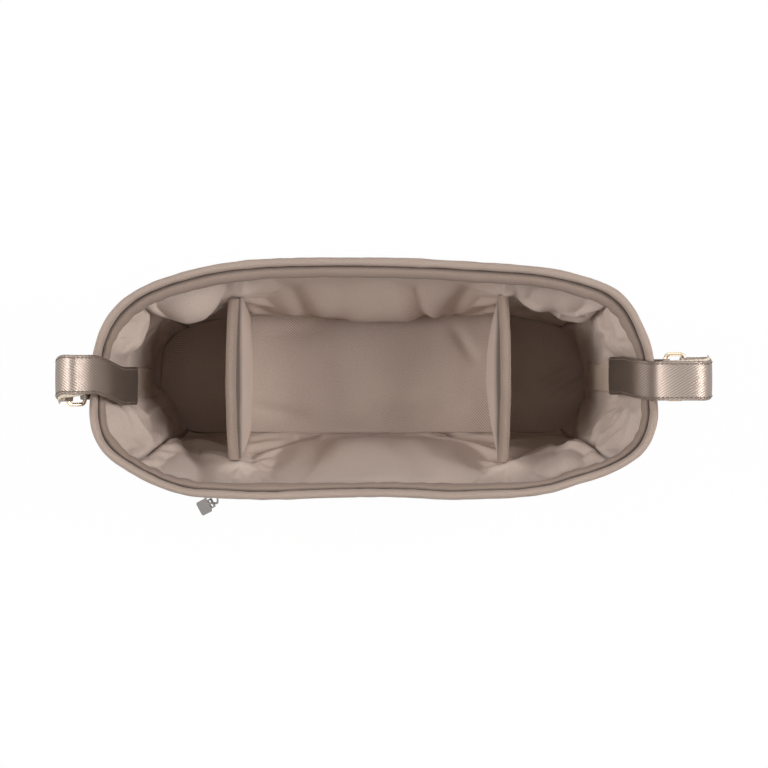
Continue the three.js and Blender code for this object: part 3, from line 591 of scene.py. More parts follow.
def finish(name):
    """The organizer's finishes, each made once."""
    c = colours()
    recipes = {
        "shell_cloth": lambda: fabric("shell_cloth", c.shell, 0.88, grain=0.42, cloud=0.16),
        "facing_cloth": lambda: fabric("facing_cloth", c.facing, 0.9, grain=0.45, cloud=0.2),
        "lining_twill": lambda: fabric(
            "lining_twill", c.lining, 0.62, grain=0.42, twill=0.26, pitch=1.25, sheen=0.08,
            patches=(0.57, 0.70),
        ),
        "strap_webbing": lambda: fabric(
            "strap_webbing", c.webbing, 0.46, grain=0.12, twill=0.22, pitch=1.5, angle=58,
            sheen=0.0, bump=0.25, shine=0.8, metallic=0.95, patches=(-1.0, 0.1),
        ),
        "strap_thread": lambda: fabric("strap_thread", c.tape, 0.7, grain=0.2),
        "hook_tape": lambda: fabric("hook_tape", c.hook, 0.9, grain=0.4, bump=0.8),
        "loop_pile": lambda: fabric("loop_pile", c.pile, 0.95, grain=0.7, bump=0.9),
        "zip_tape_cloth": lambda: fabric("zip_tape_cloth", c.tape, 0.85, grain=0.3),
        "zip_tooth": lambda: plastic("zip_tooth", c.teeth, 0.42),
        "pale_gold": lambda: metal("pale_gold", c.ring, 0.24),
        "grey_metal": lambda: metal("grey_metal", c.puller, 0.38),
    }
    if name not in _finishes:
        _finishes[name] = recipes[name]()
    return _finishes[name]


# Lining: heights, the straps' middle, and how far it stays clear of the outer fabric, in millimetres
LINING_TOP = 131.0
FACING_EDGE = 127.0
DIVIDER_TOP = 95.0
FLOOR_Z = 5.2
STRAP_Y = -4.0
LEAST_INSET = 5.2
LINING_INSET = 6.9
TUCKED_INSET = 6.0
# Heights of the lining's rows, and the lowest one of the corner seams' stitches
LINING_LEVELS = np.concatenate([[LINING_TOP, 129, FACING_EDGE], np.linspace(124.5, 8, 41), [FLOOR_Z]])
STITCH_FOOT = 30
# How far each lining panel swells at its middle, as (height, swell) in millimetres
LOBES = {
    "front": (
        (5, 0), (9, 2), (16, 7), (26, 11), (40, 13), (58, 13),
        (78, 13), (95, 13), (109, 11), (119, 7), (127, 0),
    ),
    "front_right": (
        (8, 0), (18, 2), (30, 6), (44, 10), (60, 14), (76, 16), (92, 16), (106, 14), (117, 9), (127, 0),
    ),
    "right_end": ((5, 3), (20, 8), (45, 12), (70, 13), (90, 13), (106, 11), (118, 7), (127, 0)),
    "back_right": (
        (24, 0), (38, 2), (52, 6), (64, 12), (76, 19), (86, 23),
        (95, 23), (104, 19), (113, 13), (121, 6), (127, 0),
    ),
    "back": (
        (5, 0), (10, 6), (17, 13), (26, 19), (34, 21), (44, 19), (56, 14),
        (70, 8), (84, 4), (94, 4), (104, 7), (113, 10), (120, 9), (127, 0),
    ),
    "back_left": (
        (28, 0), (42, 2), (56, 6), (67, 13), (77, 21), (86, 26),
        (95, 27), (104, 23), (112, 16), (120, 8), (127, 0),
    ),
    "left_end": ((5, 0), (68, 0), (79, 4), (89, 11), (98, 16), (107, 16), (115, 12), (121, 7), (127, 0)),
    "front_left": (
        (8, 0), (20, 3), (32, 7), (46, 12), (62, 15), (80, 16), (94, 15), (107, 12), (118, 8), (127, 0),
    ),
}
# The side of a panel, -1 at its start and 1 at its end, where the swell starts slowly beside a divider
SLOW_SIDE = {"front_right": -1, "back_right": 1, "back_left": -1, "front_left": 1, "front": -1}
SLOW_START = 1.2
QUICK_START = 0.42
# The swell of the left end's front half, which slopes to the floor
LEFT_RAMP = ((5, 10), (20, 16), (40, 19), (60, 19), (80, 18), (98, 16), (112, 12), (120, 7), (127, 0))
# Soft folds of the long walls: x at mid height, slant, side of the tub, depth and half width in millimetres
FOLDS = (
    (25, -0.22, 1, 8.0, 6), (-20, 0.1, 1, 4.0, 9), (60, 0.3, 1, 5.0, 6), (-54, -0.3, 1, 4.5, 7),
    (-42, -0.2, -1, 4.5, 9), (22, 0.15, -1, 3.5, 11), (-120, 0.2, -1, 4.5, 7), (122, -0.2, -1, 4.0, 7),
    (113, 0.1, 1, 4.0, 7), (-116, 0.1, 1, 3.0, 7),
)
MID_HEIGHT = 65.0
# The folds' height from the floor, and how far from the tub's middle a long wall starts
FOLD_SPAN = 120
LONG_WALL_Y = 20
# Where the left end's slope gives way to its swell, along y
LEFT_RAMP_Y = (-30, -6)
# How much of the swell a strap takes away, half the width that it holds, and the heights over which it does
STRAP_HOLD = 0.85
STRAP_HOLD_HALF = 22
STRAP_HOLD_Z = (40, 75)
# Slow change of the swell: its share and its wave. Fine crumples: their wave, and their share of the swell
SWELL_CHANGE = 0.18
SWELL_WAVE = 58.0
CRUMPLE_WAVE = 24.0
CRUMPLE_SHARE = 0.12
CRUMPLE_GAP = 6.0
# A divider's pull: half width along its seam, height to its full strength, half width above it with what it
# gains over some heights, and its reach below the divider's top
SEAM_HALF = 5.0
SEAM_RISE = 88.0
PULL_HALF = 15.0
PULL_GAIN = 24.0
PULL_GAIN_Z = (82, 122)
PULL_DROP = 13.0
# The share of the smaller of swell and pull that is added to the larger, and the heights where both end
SHARED = 0.3
TUCK_Z = (123.5, 129.5)
# How hard each divider end draws the lining in, in the order of divider_seams
DIVIDER_FORCE = (1.0, 0.75, 0.85, 1.0)


def fold_depth(points, z):
    """How far the lining falls back in its soft folds, strongest at mid height."""
    level = math.sin(math.pi * min(1.0, max(0.0, z - FLOOR_Z) / FOLD_SPAN)) ** 0.8
    total = 0
    for x, slant, side, depth, width in FOLDS:
        away = (points[:, 0] - x - slant * (z - MID_HEIGHT)) / width
        total = total + depth * np.exp(-(away**2)) * (points[:, 1] * side > LONG_WALL_Y)
    return level * total


def fold_in(settled, levels):
    """The settled lining with its soft folds, kept clear of the outer fabric."""
    kept = settled.copy()
    for row, z in zip(kept, levels):
        loop, normal = ring(z)
        inset = np.sum((loop - row[:, :2]) * normal, axis=1)
        change = np.maximum(inset - fold_depth(row, z), LEAST_INSET) - inset
        row[:, :2] -= normal * change[:, None]
    return kept


def lobe_depth(z):
    """Each panel's swell at a height, rounded over a few millimetres."""
    return {
        name: np.mean([np.interp(z + step, *np.array(points).T) for step in (-4, -2, 0, 2, 4)])
        for name, points in (*LOBES.items(), ("left_ramp", LEFT_RAMP))
    }


def panel_marks():
    """Station numbers of the seams, from the right divider's front end round to the left one's."""
    right = [MARKS[1], MARKS[3], MARKS[5], MARKS[6]]
    return [int(m) for m in right] + [int(AROUND - m) for m in reversed(right)]


def corner_seams():
    """Station numbers of the four corner seams, each with the step from it into its end panel."""
    marks = panel_marks()
    return (marks[1], 1), (marks[2], -1), (marks[5], 1), (marks[6], -1)


def divider_seams():
    """Station numbers of the dividers' four ends."""
    marks = panel_marks()
    return marks[0], marks[3], marks[4], marks[7]


def panel_shares():
    """For each station: its panel's name and its share of the way across it."""
    marks = panel_marks()
    names = list(LOBES)[1:] + ["front"]
    where = []
    for k in range(AROUND):
        inside = [i for i in range(7) if marks[i] <= k < marks[i + 1]]
        i = inside[0] if inside else 7
        start, end = marks[i], marks[i + 1] if i < 7 else marks[0] + AROUND
        at = k if k >= start else k + AROUND
        where.append((names[i], (at - start) / (end - start)))
    return where


def divider_gap(loop):
    """Distance of each station to the nearest divider seam, in millimetres, and that end's force."""
    run = run_of(loop)
    total = run[-1] + np.linalg.norm(loop[0] - loop[-1])
    gaps = []
    for mark in divider_seams():
        gap = np.abs(run - run[mark])
        gaps.append(np.minimum(gap, total - gap))
    nearest = np.argmin(gaps, axis=0)
    return np.min(gaps, axis=0), np.array(DIVIDER_FORCE)[nearest]


def lining_row(z, shares):
    """One row of the lining with its billows, in millimetres."""
    loop = ring(z)[0]
    depths = lobe_depth(z)
    deep = np.array([depths[name] for name, _ in shares])
    ramp = np.array([name == "left_end" for name, _ in shares]) * (1 - smoothstep(loop[:, 1], *LEFT_RAMP_Y))
    deep = deep + ramp * (depths["left_ramp"] - deep)
    t = np.array([t for _, t in shares])
    slow = np.array([SLOW_SIDE.get(name, 0) for name, _ in shares])
    across = np.sin(math.pi * t) ** np.where(slow * (t - 0.5) > 0, SLOW_START, QUICK_START)
    points = np.column_stack([loop, np.full(AROUND, z)])
    ends = np.array([name.endswith("_end") for name, _ in shares])
    strap_gap = (loop[:, 1] - STRAP_Y) / STRAP_HOLD_HALF
    near_strap = ends * np.exp(-(strap_gap**4)) * smoothstep(z, *STRAP_HOLD_Z)
    vary = 1 + SWELL_CHANGE * waves(points * (1, 1, 0.6), SWELL_WAVE, 1)
    billow = deep * across * vary * sizes().billow * (1 - STRAP_HOLD * near_strap)
    gap, force = divider_gap(loop)
    seam = np.exp(-((gap / SEAM_HALF) ** 2)) * min(1.0, max(0.0, (z - FLOOR_Z) / SEAM_RISE)) ** 0.8
    spread = PULL_HALF + PULL_GAIN * float(smoothstep(z, *PULL_GAIN_Z))
    strip = np.exp(-((gap / spread) ** 1.4)) * math.exp(-((max(0.0, DIVIDER_TOP - z) / PULL_DROP) ** 2))
    fading = float(1 - smoothstep(z, DIVIDER_TOP, FACING_EDGE))
    pull = force * np.maximum(seam, strip) * fading * sizes().tent / MM
    depth = np.maximum(billow, pull) + SHARED * np.minimum(billow, pull)
    crumple = waves(points * (1, 1, 0.5), CRUMPLE_WAVE, 2) * min(1.0, CRUMPLE_SHARE * float(np.max(deep)))
    depth = depth + crumple * (1 - near_strap) * (1 - np.exp(-((gap / CRUMPLE_GAP) ** 2)))
    tucked = smoothstep(z, *TUCK_Z)
    return wall_row(z, (LINING_INSET + depth) * (1 - tucked) + TUCKED_INSET * tucked)


def relax(piece, held, frames, pressure, ease, reach):
    """Lets a sheet settle as cloth that is cut larger than its frame. Held has one weight per point."""
    group = piece.vertex_groups.new(name="held")
    for weight in np.unique(held):
        if weight > 0:
            group.add(np.flatnonzero(held == weight).tolist(), float(weight), "REPLACE")
    cloth = piece.modifiers.new("drape", "CLOTH")
    settings = cloth.settings
    settings.quality = 6
    settings.mass = 0.12
    settings.tension_stiffness = settings.compression_stiffness = 12
    settings.shear_stiffness = 4
    settings.bending_stiffness = 0.4
    settings.air_damping = 2
    settings.vertex_group_mass = "held"
    settings.pin_stiffness = 1
    settings.use_pressure = True
    settings.uniform_pressure_force = pressure
    settings.shrink_min = -ease
    settings.effector_weights.gravity = 0.8
    cloth.collision_settings.use_collision = False
    cloth.point_cache.frame_start, cloth.point_cache.frame_end = 1, frames
    scene = bpy.context.scene
    before = points_of(piece)
    for number in range(1, frames + 1):
        scene.frame_set(number)
    settled = piece.evaluated_get(bpy.context.evaluated_depsgraph_get()).to_mesh()
    after = np.empty(before.size, np.float32)
    settled.vertices.foreach_get("co", after)
    move = after.reshape(-1, 3) - before
    far = np.linalg.norm(move, axis=1)
    move *= (reach / np.maximum(far, reach))[:, None]
    piece.modifiers.remove(cloth)
    piece.vertex_groups.remove(group)
    piece.data.vertices.foreach_set("co", (before + move).ravel())
    piece.data.update()
    scene.frame_set(1)


# Creases of the floor: x and y of the two ends, depth and half width, in millimetres
CREASES = (
    (54, 30, 67, 10, 2.4, 4.0), (112, -9, 136, 4, 3.2, 3.4), (120, -18, 144, -2, 2.6, 3.0),
    (-70, 26, -30, 33, 2.0, 5.0), (-86, -22, -48, -30, 2.2, 4.5), (18, -24, 50, -32, 1.4, 6.0),
)
# Settling of the lining: frames, pressure and how far a point may move, in metres
SETTLE_FRAMES = 28
SETTLE_PRESSURE = 1.0
SETTLE_REACH = 0.008
# How firmly a corner seam is held, where 1 is fixed
CORNER_HOLD = 0.6
# Where a strap's leg holds the lining: past this x, and within this distance of the straps' middle
LEG_X = 140
LEG_HALF = 17
# Painted shade on the lining: the shadow under the facing's edge and the shade in its corner seams
TUCKED_SHADE = 0.7
LINING_SEAM_SHADE = 0.75
# The floor: its steps from front to back, and in millimetres its inset, its two waves with their lift, and
# its puff
FLOOR_STEPS = 41
FLOOR_INSET = 7.0
FLOOR_WAVE = 50.0
FLOOR_LIFT = 2.0
RIPPLE_WAVE = 18.0
RIPPLE_LIFT = 0.35
FLOOR_PUFF = 1.2


def crease_depth(points):
    """How far the floor dips at points, from soft creases along short lines."""
    dip = np.zeros(len(points))
    for x0, y0, x1, y1, depth, width in CREASES:
        start, run = np.array([x0, y0]), np.array([x1 - x0, y1 - y0])
        share = np.clip(((points[:, :2] - start) @ run) / (run @ run), 0, 1)
        away = np.linalg.norm(points[:, :2] - start - share[:, None] * run, axis=1)
        dip += depth * np.exp(-((away / width) ** 2)) * np.sin(math.pi * (0.15 + 0.7 * share))
    return dip


def settle_lining(wall, rows, levels):
    """Lets the lining settle, held at the facing, floor, dividers, straps and corner seams."""
    held = np.zeros(rows.shape[:2])
    held[levels >= FACING_EDGE] = 1
    held[-1] = 1
    for mark in divider_seams():
        held[levels < DIVIDER_TOP, mark] = 1
    for mark, _ in corner_seams():
        held[:, mark] = np.maximum(held[:, mark], CORNER_HOLD)
    x, y, z = np.moveaxis(rows, 2, 0)
    held[(np.abs(x) > LEG_X) & (np.abs(y - STRAP_Y) < LEG_HALF) & (z > MID_HEIGHT)] = 1
    relax(wall, held.ravel(), SETTLE_FRAMES, SETTLE_PRESSURE, sizes().ease, SETTLE_REACH)


def lining_wall():
    """The lining's eight panels with their swell, folds and seam stitches."""
    shares = panel_shares()
    levels = LINING_LEVELS
    rows = np.array([lining_row(z, shares) for z in levels])
    # Painted shade: a shadow along the rows under the facing's edge and shade down each corner seam
    shade = np.zeros(rows.shape[:2])
    shade[levels >= FACING_EDGE] = TUCKED_SHADE
    for mark, _ in corner_seams():
        shade[:, mark] = LINING_SEAM_SHADE
    wall = loft("lining_wall", rows, inside=True, shade=shade)
    settle_lining(wall, rows, levels)
    settled = fold_in(points_of(wall).reshape(len(levels), AROUND, 3).astype(float) / MM, levels)
    wall.data.vertices.foreach_set("co", (settled * MM).ravel())
    wall.data.update()
    shown = (levels < FACING_EDGE - 1) & (levels > STITCH_FOOT)
    seams, facing = [], []
    for mark, step in corner_seams():
        seams.append(0.5 * (settled[shown, mark] + settled[shown, mark + step]))
        facing.append(np.append(-ring(100.0)[1][mark], 0.5))
    sew("lining_seam_stitches", seams, facing, TUB, "lining_fabric", pitch=3.6, width=0.6)
    thicken(wall, LINING_CLOTH, -1)
    dress(
        wall, finish("lining_twill"), TUB, "lining_fabric",
        "lining_front", "lining_back", "lining_left_end", "lining_right_end",
    )


def lining_floor():
    """The lining's floor, laid from the front edge to the back one with soft waves and creases."""
    front = wall_row(FLOOR_Z, FLOOR_INSET)
    right = int(MARKS[4])
    near = np.vstack([front[-right:], front[: right + 1]])
    far = front[AROUND - right : right - 1 : -1]
    far = places_at(np.linspace(0, len(far) - 1, len(near)), np.arange(len(far)), far)
    share = np.linspace(0, 1, FLOOR_STEPS)[:, None, None]
    rows = near[None] * (1 - share) + far[None] * share
    flat = rows.reshape(-1, 3)
    lift = waves(flat, FLOOR_WAVE, 5) * FLOOR_LIFT
    lift = lift + waves(flat * (1.0, 0.6, 1.0), RIPPLE_WAVE, 6) * RIPPLE_LIFT
    lift = (lift - crease_depth(flat)).reshape(FLOOR_STEPS, -1)
    edge = np.minimum(share[:, :, 0], 1 - share[:, :, 0]) * np.ones(near.shape[0])
    rows[:, :, 2] += lift * smoothstep(edge, 0.0, 0.18) + FLOOR_PUFF * smoothstep(edge, 0, 0.3)
    floor = loft("lining_floor", rows, closed=False)
    thicken(floor, LINING_FLOOR_CLOTH, -1)
    dress(floor, finish("lining_twill"), TUB, "lining_fabric", "lining_base", "base_board")


class ORGANIZER_OT_lining(bpy.types.Operator):
    """Hang the satin lining inside the tub and lay its floor"""

    bl_idname = "organizer.lining"
    bl_label = "Lining"

    def execute(self, context):
        lining_wall()
        lining_floor()
        return {"FINISHED"}


# Outer fabric: heights of its rows, with those at the zip's slot and the two rows that are stitched
OUTER_LEVELS = (
    0.6, 2.5, 6, 12, 20, 29, 38, 48, 58, 68, 78, 88, 97, 104, 109, 112, 113,
    115, 118, 121, 123, 124, 127, 130, 132.6, 134.2,
)
STITCHED_LEVELS = (6, 130)
# How far it is set in, in millimetres: on average, at least, beside the zip, above the zip's far end, at a
# corner seam, and at its lowest and highest rows
OUTER_INSET = 0.5
OUTER_LEAST = -0.3
ZIP_INSET = 0.2
ABOVE_ZIP_INSET = 0.6
SEAM_INSET = 1.0
FOOT_INSET = 1.2
TOP_INSET = 1.3
# The flat stretch beside the zip, in millimetres: its heights, its half length, and the height and x past
# which it is set in more
ZIP_ROWS = (108, 128)
ZIP_HALF = 112
ABOVE_ZIP_Z = 122
ZIP_FAR_X = (86, 100)
# Painted shade down the grooves of the outer fabric's corner seams
OUTER_SEAM_SHADE = 0.6
OUTER_WAVE = 52.0
# The zip's slot in metres: its heights, its gap past the bottom stop, and the front wall's y
SLOT_LOW = 0.113
SLOT_HIGH = 0.123
SLOT_CLEAR = 0.0004
FRONT_WALL_Y = -0.07
# The outer floor: height and inset of the ring that turns up the wall, inset of its edge, and the rings
# inside as shares of the edge
TURNED_UP = (1.6, 0.9)
FLOOR_EDGE_INSET = 1.6
FLOOR_RINGS = (0.97, 0.9, 0.75, 0.5, 0.2)


def outer_row(z):
    """One row of the outer fabric: soft waves, flat beside the zip, drawn in at the corner seams."""
    loop = ring(z)[0]
    points = np.column_stack([loop, np.full(AROUND, z)])
    inset = np.maximum(OUTER_INSET + waves(points, OUTER_WAVE, 3), OUTER_LEAST)
    if ZIP_ROWS[0] < z < ZIP_ROWS[1]:
        above = ABOVE_ZIP_INSET * (z > ABOVE_ZIP_Z) * smoothstep(loop[:, 0], *ZIP_FAR_X)
        beside = (loop[:, 1] < FRONT_Y) & (np.abs(loop[:, 0]) < ZIP_HALF)
        inset = np.where(beside, ZIP_INSET + above, inset)
    for mark, _ in corner_seams():
        inset[mark] += SEAM_INSET
    if z == OUTER_LEVELS[0]:
        inset = inset + FOOT_INSET
    if z == OUTER_LEVELS[-1]:
        inset = inset + TOP_INSET
    return wall_row(z, inset)


def in_zip_slot(face):
    """Whether a face of the outer wall lies in the zip's slot."""
    x, y, z = face.center
    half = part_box("zip_bottom_stop")[1].x + SLOT_CLEAR
    return y < FRONT_WALL_Y and abs(x) < half and SLOT_LOW < z < SLOT_HIGH


def outer_wall():
    """The outer fabric round the tub with its topstitching and the slot for the zip."""
    levels = np.array(OUTER_LEVELS)
    rows = np.array([outer_row(z) for z in levels])
    # Painted shade in each corner seam's groove
    shade = np.zeros(rows.shape[:2])
    for mark, _ in corner_seams():
        shade[:, mark] = OUTER_SEAM_SHADE
    wall = loft("outer_wall", rows, shade=shade)
    outward = np.column_stack([ring(MID_HEIGHT)[1], np.full(AROUND, -0.1)])
    lines = [closed_row(rows[levels == z][0]) for z in STITCHED_LEVELS]
    outs = [closed_row(outward)] * 2
    for mark, step in corner_seams():
        lines.append(rows[3:-3, mark + step])
        outs.append(outward[mark + step])
    sew("outer_stitches", lines, outs, TUB, "shell_fabric")
    with editing(wall, "polygons", in_zip_slot):
        bpy.ops.mesh.delete(type="FACE")
    thicken(wall, OUTER_CLOTH, -1)
    dress(
        wall, finish("shell_cloth"), TUB, "shell_fabric", "outer_front", "outer_back", "outer_left_end",
        "outer_right_end", "foam_front", "foam_back", "foam_left_end", "foam_right_end", "pocket_sheet",
    )


def outer_floor():
    """The outer fabric under the tub: rings that shrink to a last flat face."""
    edge = wall_row(0.0, FLOOR_EDGE_INSET)
    rings = [wall_row(*TURNED_UP), edge] + [edge * share for share in FLOOR_RINGS]
    base = loft("outer_floor", np.array(rings), inside=True)
    last_ring = (len(rings) - 1) * AROUND
    with editing(base, "vertices", lambda vertex: vertex.index >= last_ring):
        bpy.ops.mesh.select_mode(type="VERT")
        bpy.ops.mesh.edge_face_add()
    thicken(base, OUTER_FLOOR_CLOTH, -1, 0)
    dress(base, finish("shell_cloth"), TUB, "shell_fabric", "outer_base")


class ORGANIZER_OT_outer(bpy.types.Operator):
    """Wrap the outer fabric round the tub, with the slot for the zip"""

    bl_idname = "organizer.outer"
    bl_label = "Outer fabric"

    def execute(self, context):
        outer_wall()
        outer_floor()
        return {"FINISHED"}


# Rim roll: middle height, half height, inset and half width of its round section, and its steps with
# painted shade, on the inside and underside toward the facing's groove
ROLL_Z = 136.6
ROLL_RISE = 3.2
ROLL_INSET = 2.8
ROLL_REACH = 2.75
ROLL_STEPS = 16
ROLL_SHADE = {0: 0.3, 15: 0.7, 14: 0.8}
# Lumps of the roll: wave, seed and depth, and the height whose outline they follow
ROLL_LUMPS = ((9.0, 11, 0.3), (40.0, 12, 0.25))
LUMP_Z = 136.4
# Facing's section from the roll down: inset, height, share of the gathers and painted shade, in the groove
# by the roll and under the lower edge
FACING_SECTION = (
    (4.2, 134.0, 0.0, 1.0), (5.3, 133.5, 0.0, 1.0), (6.0, 133.7, 0.1, 0.55), (6.8, 133.6, 0.35, 0.0),
    (7.6, 132.4, 0.65, 0.0), (8.3, 130.2, 0.9, 0.0), (8.5, 127.4, 1.0, 0.3), (7.5, 123.5, 1.0, 0.6),
)
# Gathers of the facing: the height whose outline they follow, the x over which the ends bend, the y over
# which the back widens and by how much, and the height and inset of the stitched groove
GATHER_Z = 128.0
END_BEND_X = (105, 150)
BACK_Y = (10, 50)
BACK_WIDER = 3.0
GROOVE = (133.7, 6.1)
# Fine gathers with what they gain at the ends, and broad ones: wave and depth
FINE_WAVE = 6.0
FINE_GATHER = 0.4
END_GATHER = 1.1
BROAD_WAVE = 20.0
BROAD_GATHER = 0.6


def rim_roll():
    """The rolled rim, a little lumpy, with painted shade along the line where it meets the facing."""
    rows, shade = [], []
    base = np.column_stack([ring(LUMP_Z)[0], np.zeros(AROUND)])
    lumps = sum(waves(base, size, seed) * depth for size, seed, depth in ROLL_LUMPS)
    for k in range(ROLL_STEPS):
        turn = 2 * math.pi * k / ROLL_STEPS
        inset = ROLL_INSET + (ROLL_REACH + lumps) * math.cos(turn)
        rows.append(wall_row(ROLL_Z + ROLL_RISE * math.sin(turn), inset))
        shade.append(np.full(AROUND, ROLL_SHADE.get(k, 0.0)))
    rows.append(rows[0].copy())
    shade.append(shade[0])
    roll = loft("rim_roll", np.array(rows), inside=True, shade=np.array(shade))
    with editing(roll):
        bpy.ops.mesh.remove_doubles(threshold=1e-6)
        bpy.ops.mesh.normals_make_consistent(inside=False)
    soften(roll)
    dress(roll, finish("shell_cloth"), TUB, "shell_fabric", "rim_piping", "rim_cord")


def facing_band():
    """The facing inside the roll, gathered most at the ends and widest at the back, with its stitches."""
    loop = ring(GATHER_Z)[0]
    spots = np.column_stack([loop, np.zeros(AROUND)])
    bend = smoothstep(np.abs(loop[:, 0]), *END_BEND_X)
    ripple = waves(spots, FINE_WAVE, 14) * (FINE_GATHER + END_GATHER * bend)
    ripple = ripple + waves(spots, BROAD_WAVE, 15) * BROAD_GATHER
    wide = BACK_WIDER * smoothstep(loop[:, 1], *BACK_Y) + ripple
    rows = [wall_row(z, inset + wide * share) for inset, z, share, _ in FACING_SECTION]
    # Painted shade in the groove by the roll and under the lower edge
    shade = [np.full(AROUND, painted_shade) for _, _, _, painted_shade in FACING_SECTION]
    band = loft("facing_band", np.array(rows), inside=True, shade=np.array(shade))
    thicken(band, FACING_CLOTH, -1)
    dress(band, finish("facing_cloth"), TUB, "facing_fabric", "rim_facing")
    groove = wall_row(*GROOVE)
    inward = np.column_stack([-0.5 * ring(135.0)[1], np.full(AROUND, 0.85)])
    sew("rim_stitches", [closed_row(groove)], [closed_row(inward)], TUB, "facing_fabric")


class ORGANIZER_OT_rim(bpy.types.Operator):
    """Roll the rim and sew the facing band inside it"""

    bl_idname = "organizer.rim"
    bl_label = "Rim"

    def execute(self, context):
        rim_roll()
        facing_band()
        return {"FINISHED"}


# Dividers, in millimetres: heights of the pad's rows, painted shade of those under the binding's edge, and
# the pad's half thickness
PAD_LEVELS = (5.6, 7, 11, 17, 25, 34, 44, 54, 63, 71, 77, 81, 84, 87, 91)
PAD_SHADE = {77: 0.4, 81: 1.0, 84: 1.0, 87: 1.0}
PAD_HALF = 3.4
# The pad's top is thinner from a height on, its middle is puffed below another, and its faces pucker
TOP_THINNER = 2.0
THINNER_Z = 80
THINNER_SPAN = 6
PUFF = 0.35
PUFF_TOP = 88
PUCKER = 0.35
PUCKER_WAVE = 14.0
# Heights at which the lean and the bulge end, the highest one at which the pad meets the lining, and that of
# the binding's ends
LEAN_TOP = 92
BULGE_TOP = 90
MEET_TOP = 89
BINDING_Z = 90
# Gaps of the pad to the lining and of the binding to the pad's ends, and the binding's wobble
PAD_CLEAR = 0.2
BINDING_CLEAR = 0.3
WOBBLE = 0.2
WOBBLE_WAVE = 10.0
# Steps across a divider from the front to the back, as shares, and how far each rises to the middle
SPAN_STEPS = 41
SPANS = np.linspace(0, 1, SPAN_STEPS)
CROWN = np.sin(math.pi * SPANS) ** 0.7
# One half of the binding's fold from its edge up to the top: distance from the middle, and height
BINDING_FOLD = ((-2.5, 85.5), (-2.65, 88), (-2.6, 91.5), (-2.2, 93.6), (-1.2, 94.7), (0, 95))
BINDING_STITCH = (2.66, 87.2)
# At each side: its sign, how far the divider leans at its ends and its middle, and its share of the bulge
DIVIDERS = {"left": (-1, -3.5, -2.2, 0.5), "right": (1, -3.6, 2.2, 1.35)}


def divider_middle(side, z):
    """The x of a divider's middle at each step across it, at a height."""
    sign, end_lean, mid_lean, share = DIVIDERS[side]
    lean = (end_lean + mid_lean * CROWN) * min(1, z / LEAN_TOP) ** 1.4
    swell = sizes().divider_bulge / MM * CROWN * math.sin(math.pi * min(1, z / BULGE_TOP) ** 0.8)
    return sign * DIVIDER_X + lean - sign * swell * share


def divider_ends(side, z, table):
    """The y at which a divider meets the front and the back lining, at a height."""
    x = float(np.mean(divider_middle(side, z)))
    front, back = (hit(table, (x, 0, z), (0, way, 0)).y for way in (-1, 1))
    return front + PAD_CLEAR, back - PAD_CLEAR


def divider_pad(side, table):
    """A divider's padded cover, closed at its top and foot."""
    sign = DIVIDERS[side][0]
    rows = []
    for z in PAD_LEVELS:
        low, high = divider_ends(side, min(z, MEET_TOP), table)
        y = low + (high - low) * SPANS
        level = np.full(SPAN_STEPS, z)
        half = PAD_HALF - TOP_THINNER * min(1.0, max(0.0, z - THINNER_Z) / THINNER_SPAN)
        puff = 1.0 + PUFF * CROWN * math.sin(math.pi * min(1, z / PUFF_TOP))
        place = np.column_stack([np.full(SPAN_STEPS, sign * DIVIDER_X), y, level])
        middle = divider_middle(side, z)
        pucker = PUCKER * waves(place, PUCKER_WAVE, 21 + sign)
        one = np.column_stack([middle - half * puff + pucker, y, level])
        two = np.column_stack([middle + half * puff + pucker, y, level])
        rows.append(np.vstack([one, two[::-1]]))
    # Painted shade on the rows just under the binding's edge
    shade = np.repeat([[PAD_SHADE.get(z, 0.0)] for z in PAD_LEVELS], 2 * SPAN_STEPS, axis=1)
    pad = loft(f"divider_{side}", np.array(rows), shade=shade)
    with editing(pad):
        bpy.ops.mesh.region_to_loop()
        bpy.ops.mesh.edge_face_add()
        bpy.ops.mesh.select_all(action="SELECT")
        bpy.ops.mesh.normals_make_consistent(inside=False)
    soften(pad)
    dress(
        pad, finish("lining_twill"), TUB, "lining_fabric",
        f"divider_{side}_cover", f"divider_{side}_foam",
    )


def divider_binding(side, table):
    """The tape folded over a divider's top edge, stitched on both faces."""
    low, high = divider_ends(side, BINDING_Z, table)
    y = low + BINDING_CLEAR + (high - low - 2 * BINDING_CLEAR) * SPANS
    top = divider_middle(side, LEAN_TOP)
    place = np.column_stack([top, y, np.zeros(SPAN_STEPS)])
    wobble = WOBBLE * waves(place, WOBBLE_WAVE, 31 + DIVIDERS[side][0])

    def along_top(dx, z):
        return np.column_stack([top + dx + wobble, y, z + wobble])

    mirrored = [(-dx, z) for dx, z in BINDING_FOLD[-2::-1]]
    rows = [along_top(dx, z) for dx, z in (*BINDING_FOLD, *mirrored)]
    binding = loft(f"binding_{side}", np.array(rows), closed=False)
    thicken(binding, BINDING_CLOTH, -1)
    dress(binding, finish("facing_cloth"), TUB, "facing_fabric", f"divider_{side}_binding")
    stitch_x, stitch_z = BINDING_STITCH
    lines = [along_top(stitch_x * face, stitch_z)[1:-1] for face in (-1, 1)]
    outs = [(-1, 0, 0.1), (1, 0, 0.1)]
    sew(f"binding_{side}_stitches", lines, outs, TUB, "facing_fabric", pitch=2.8)


class ORGANIZER_OT_dividers(bpy.types.Operator):
    """Sew in the two padded dividers and bind their top edges"""

    bl_idname = "organizer.dividers"
    bl_label = "Dividers"

    def execute(self, context):
        table = ray_table(bpy.data.objects["lining_wall"])
        for side in DIVIDERS:
            divider_pad(side, table)
            divider_binding(side, table)
        return {"FINISHED"}


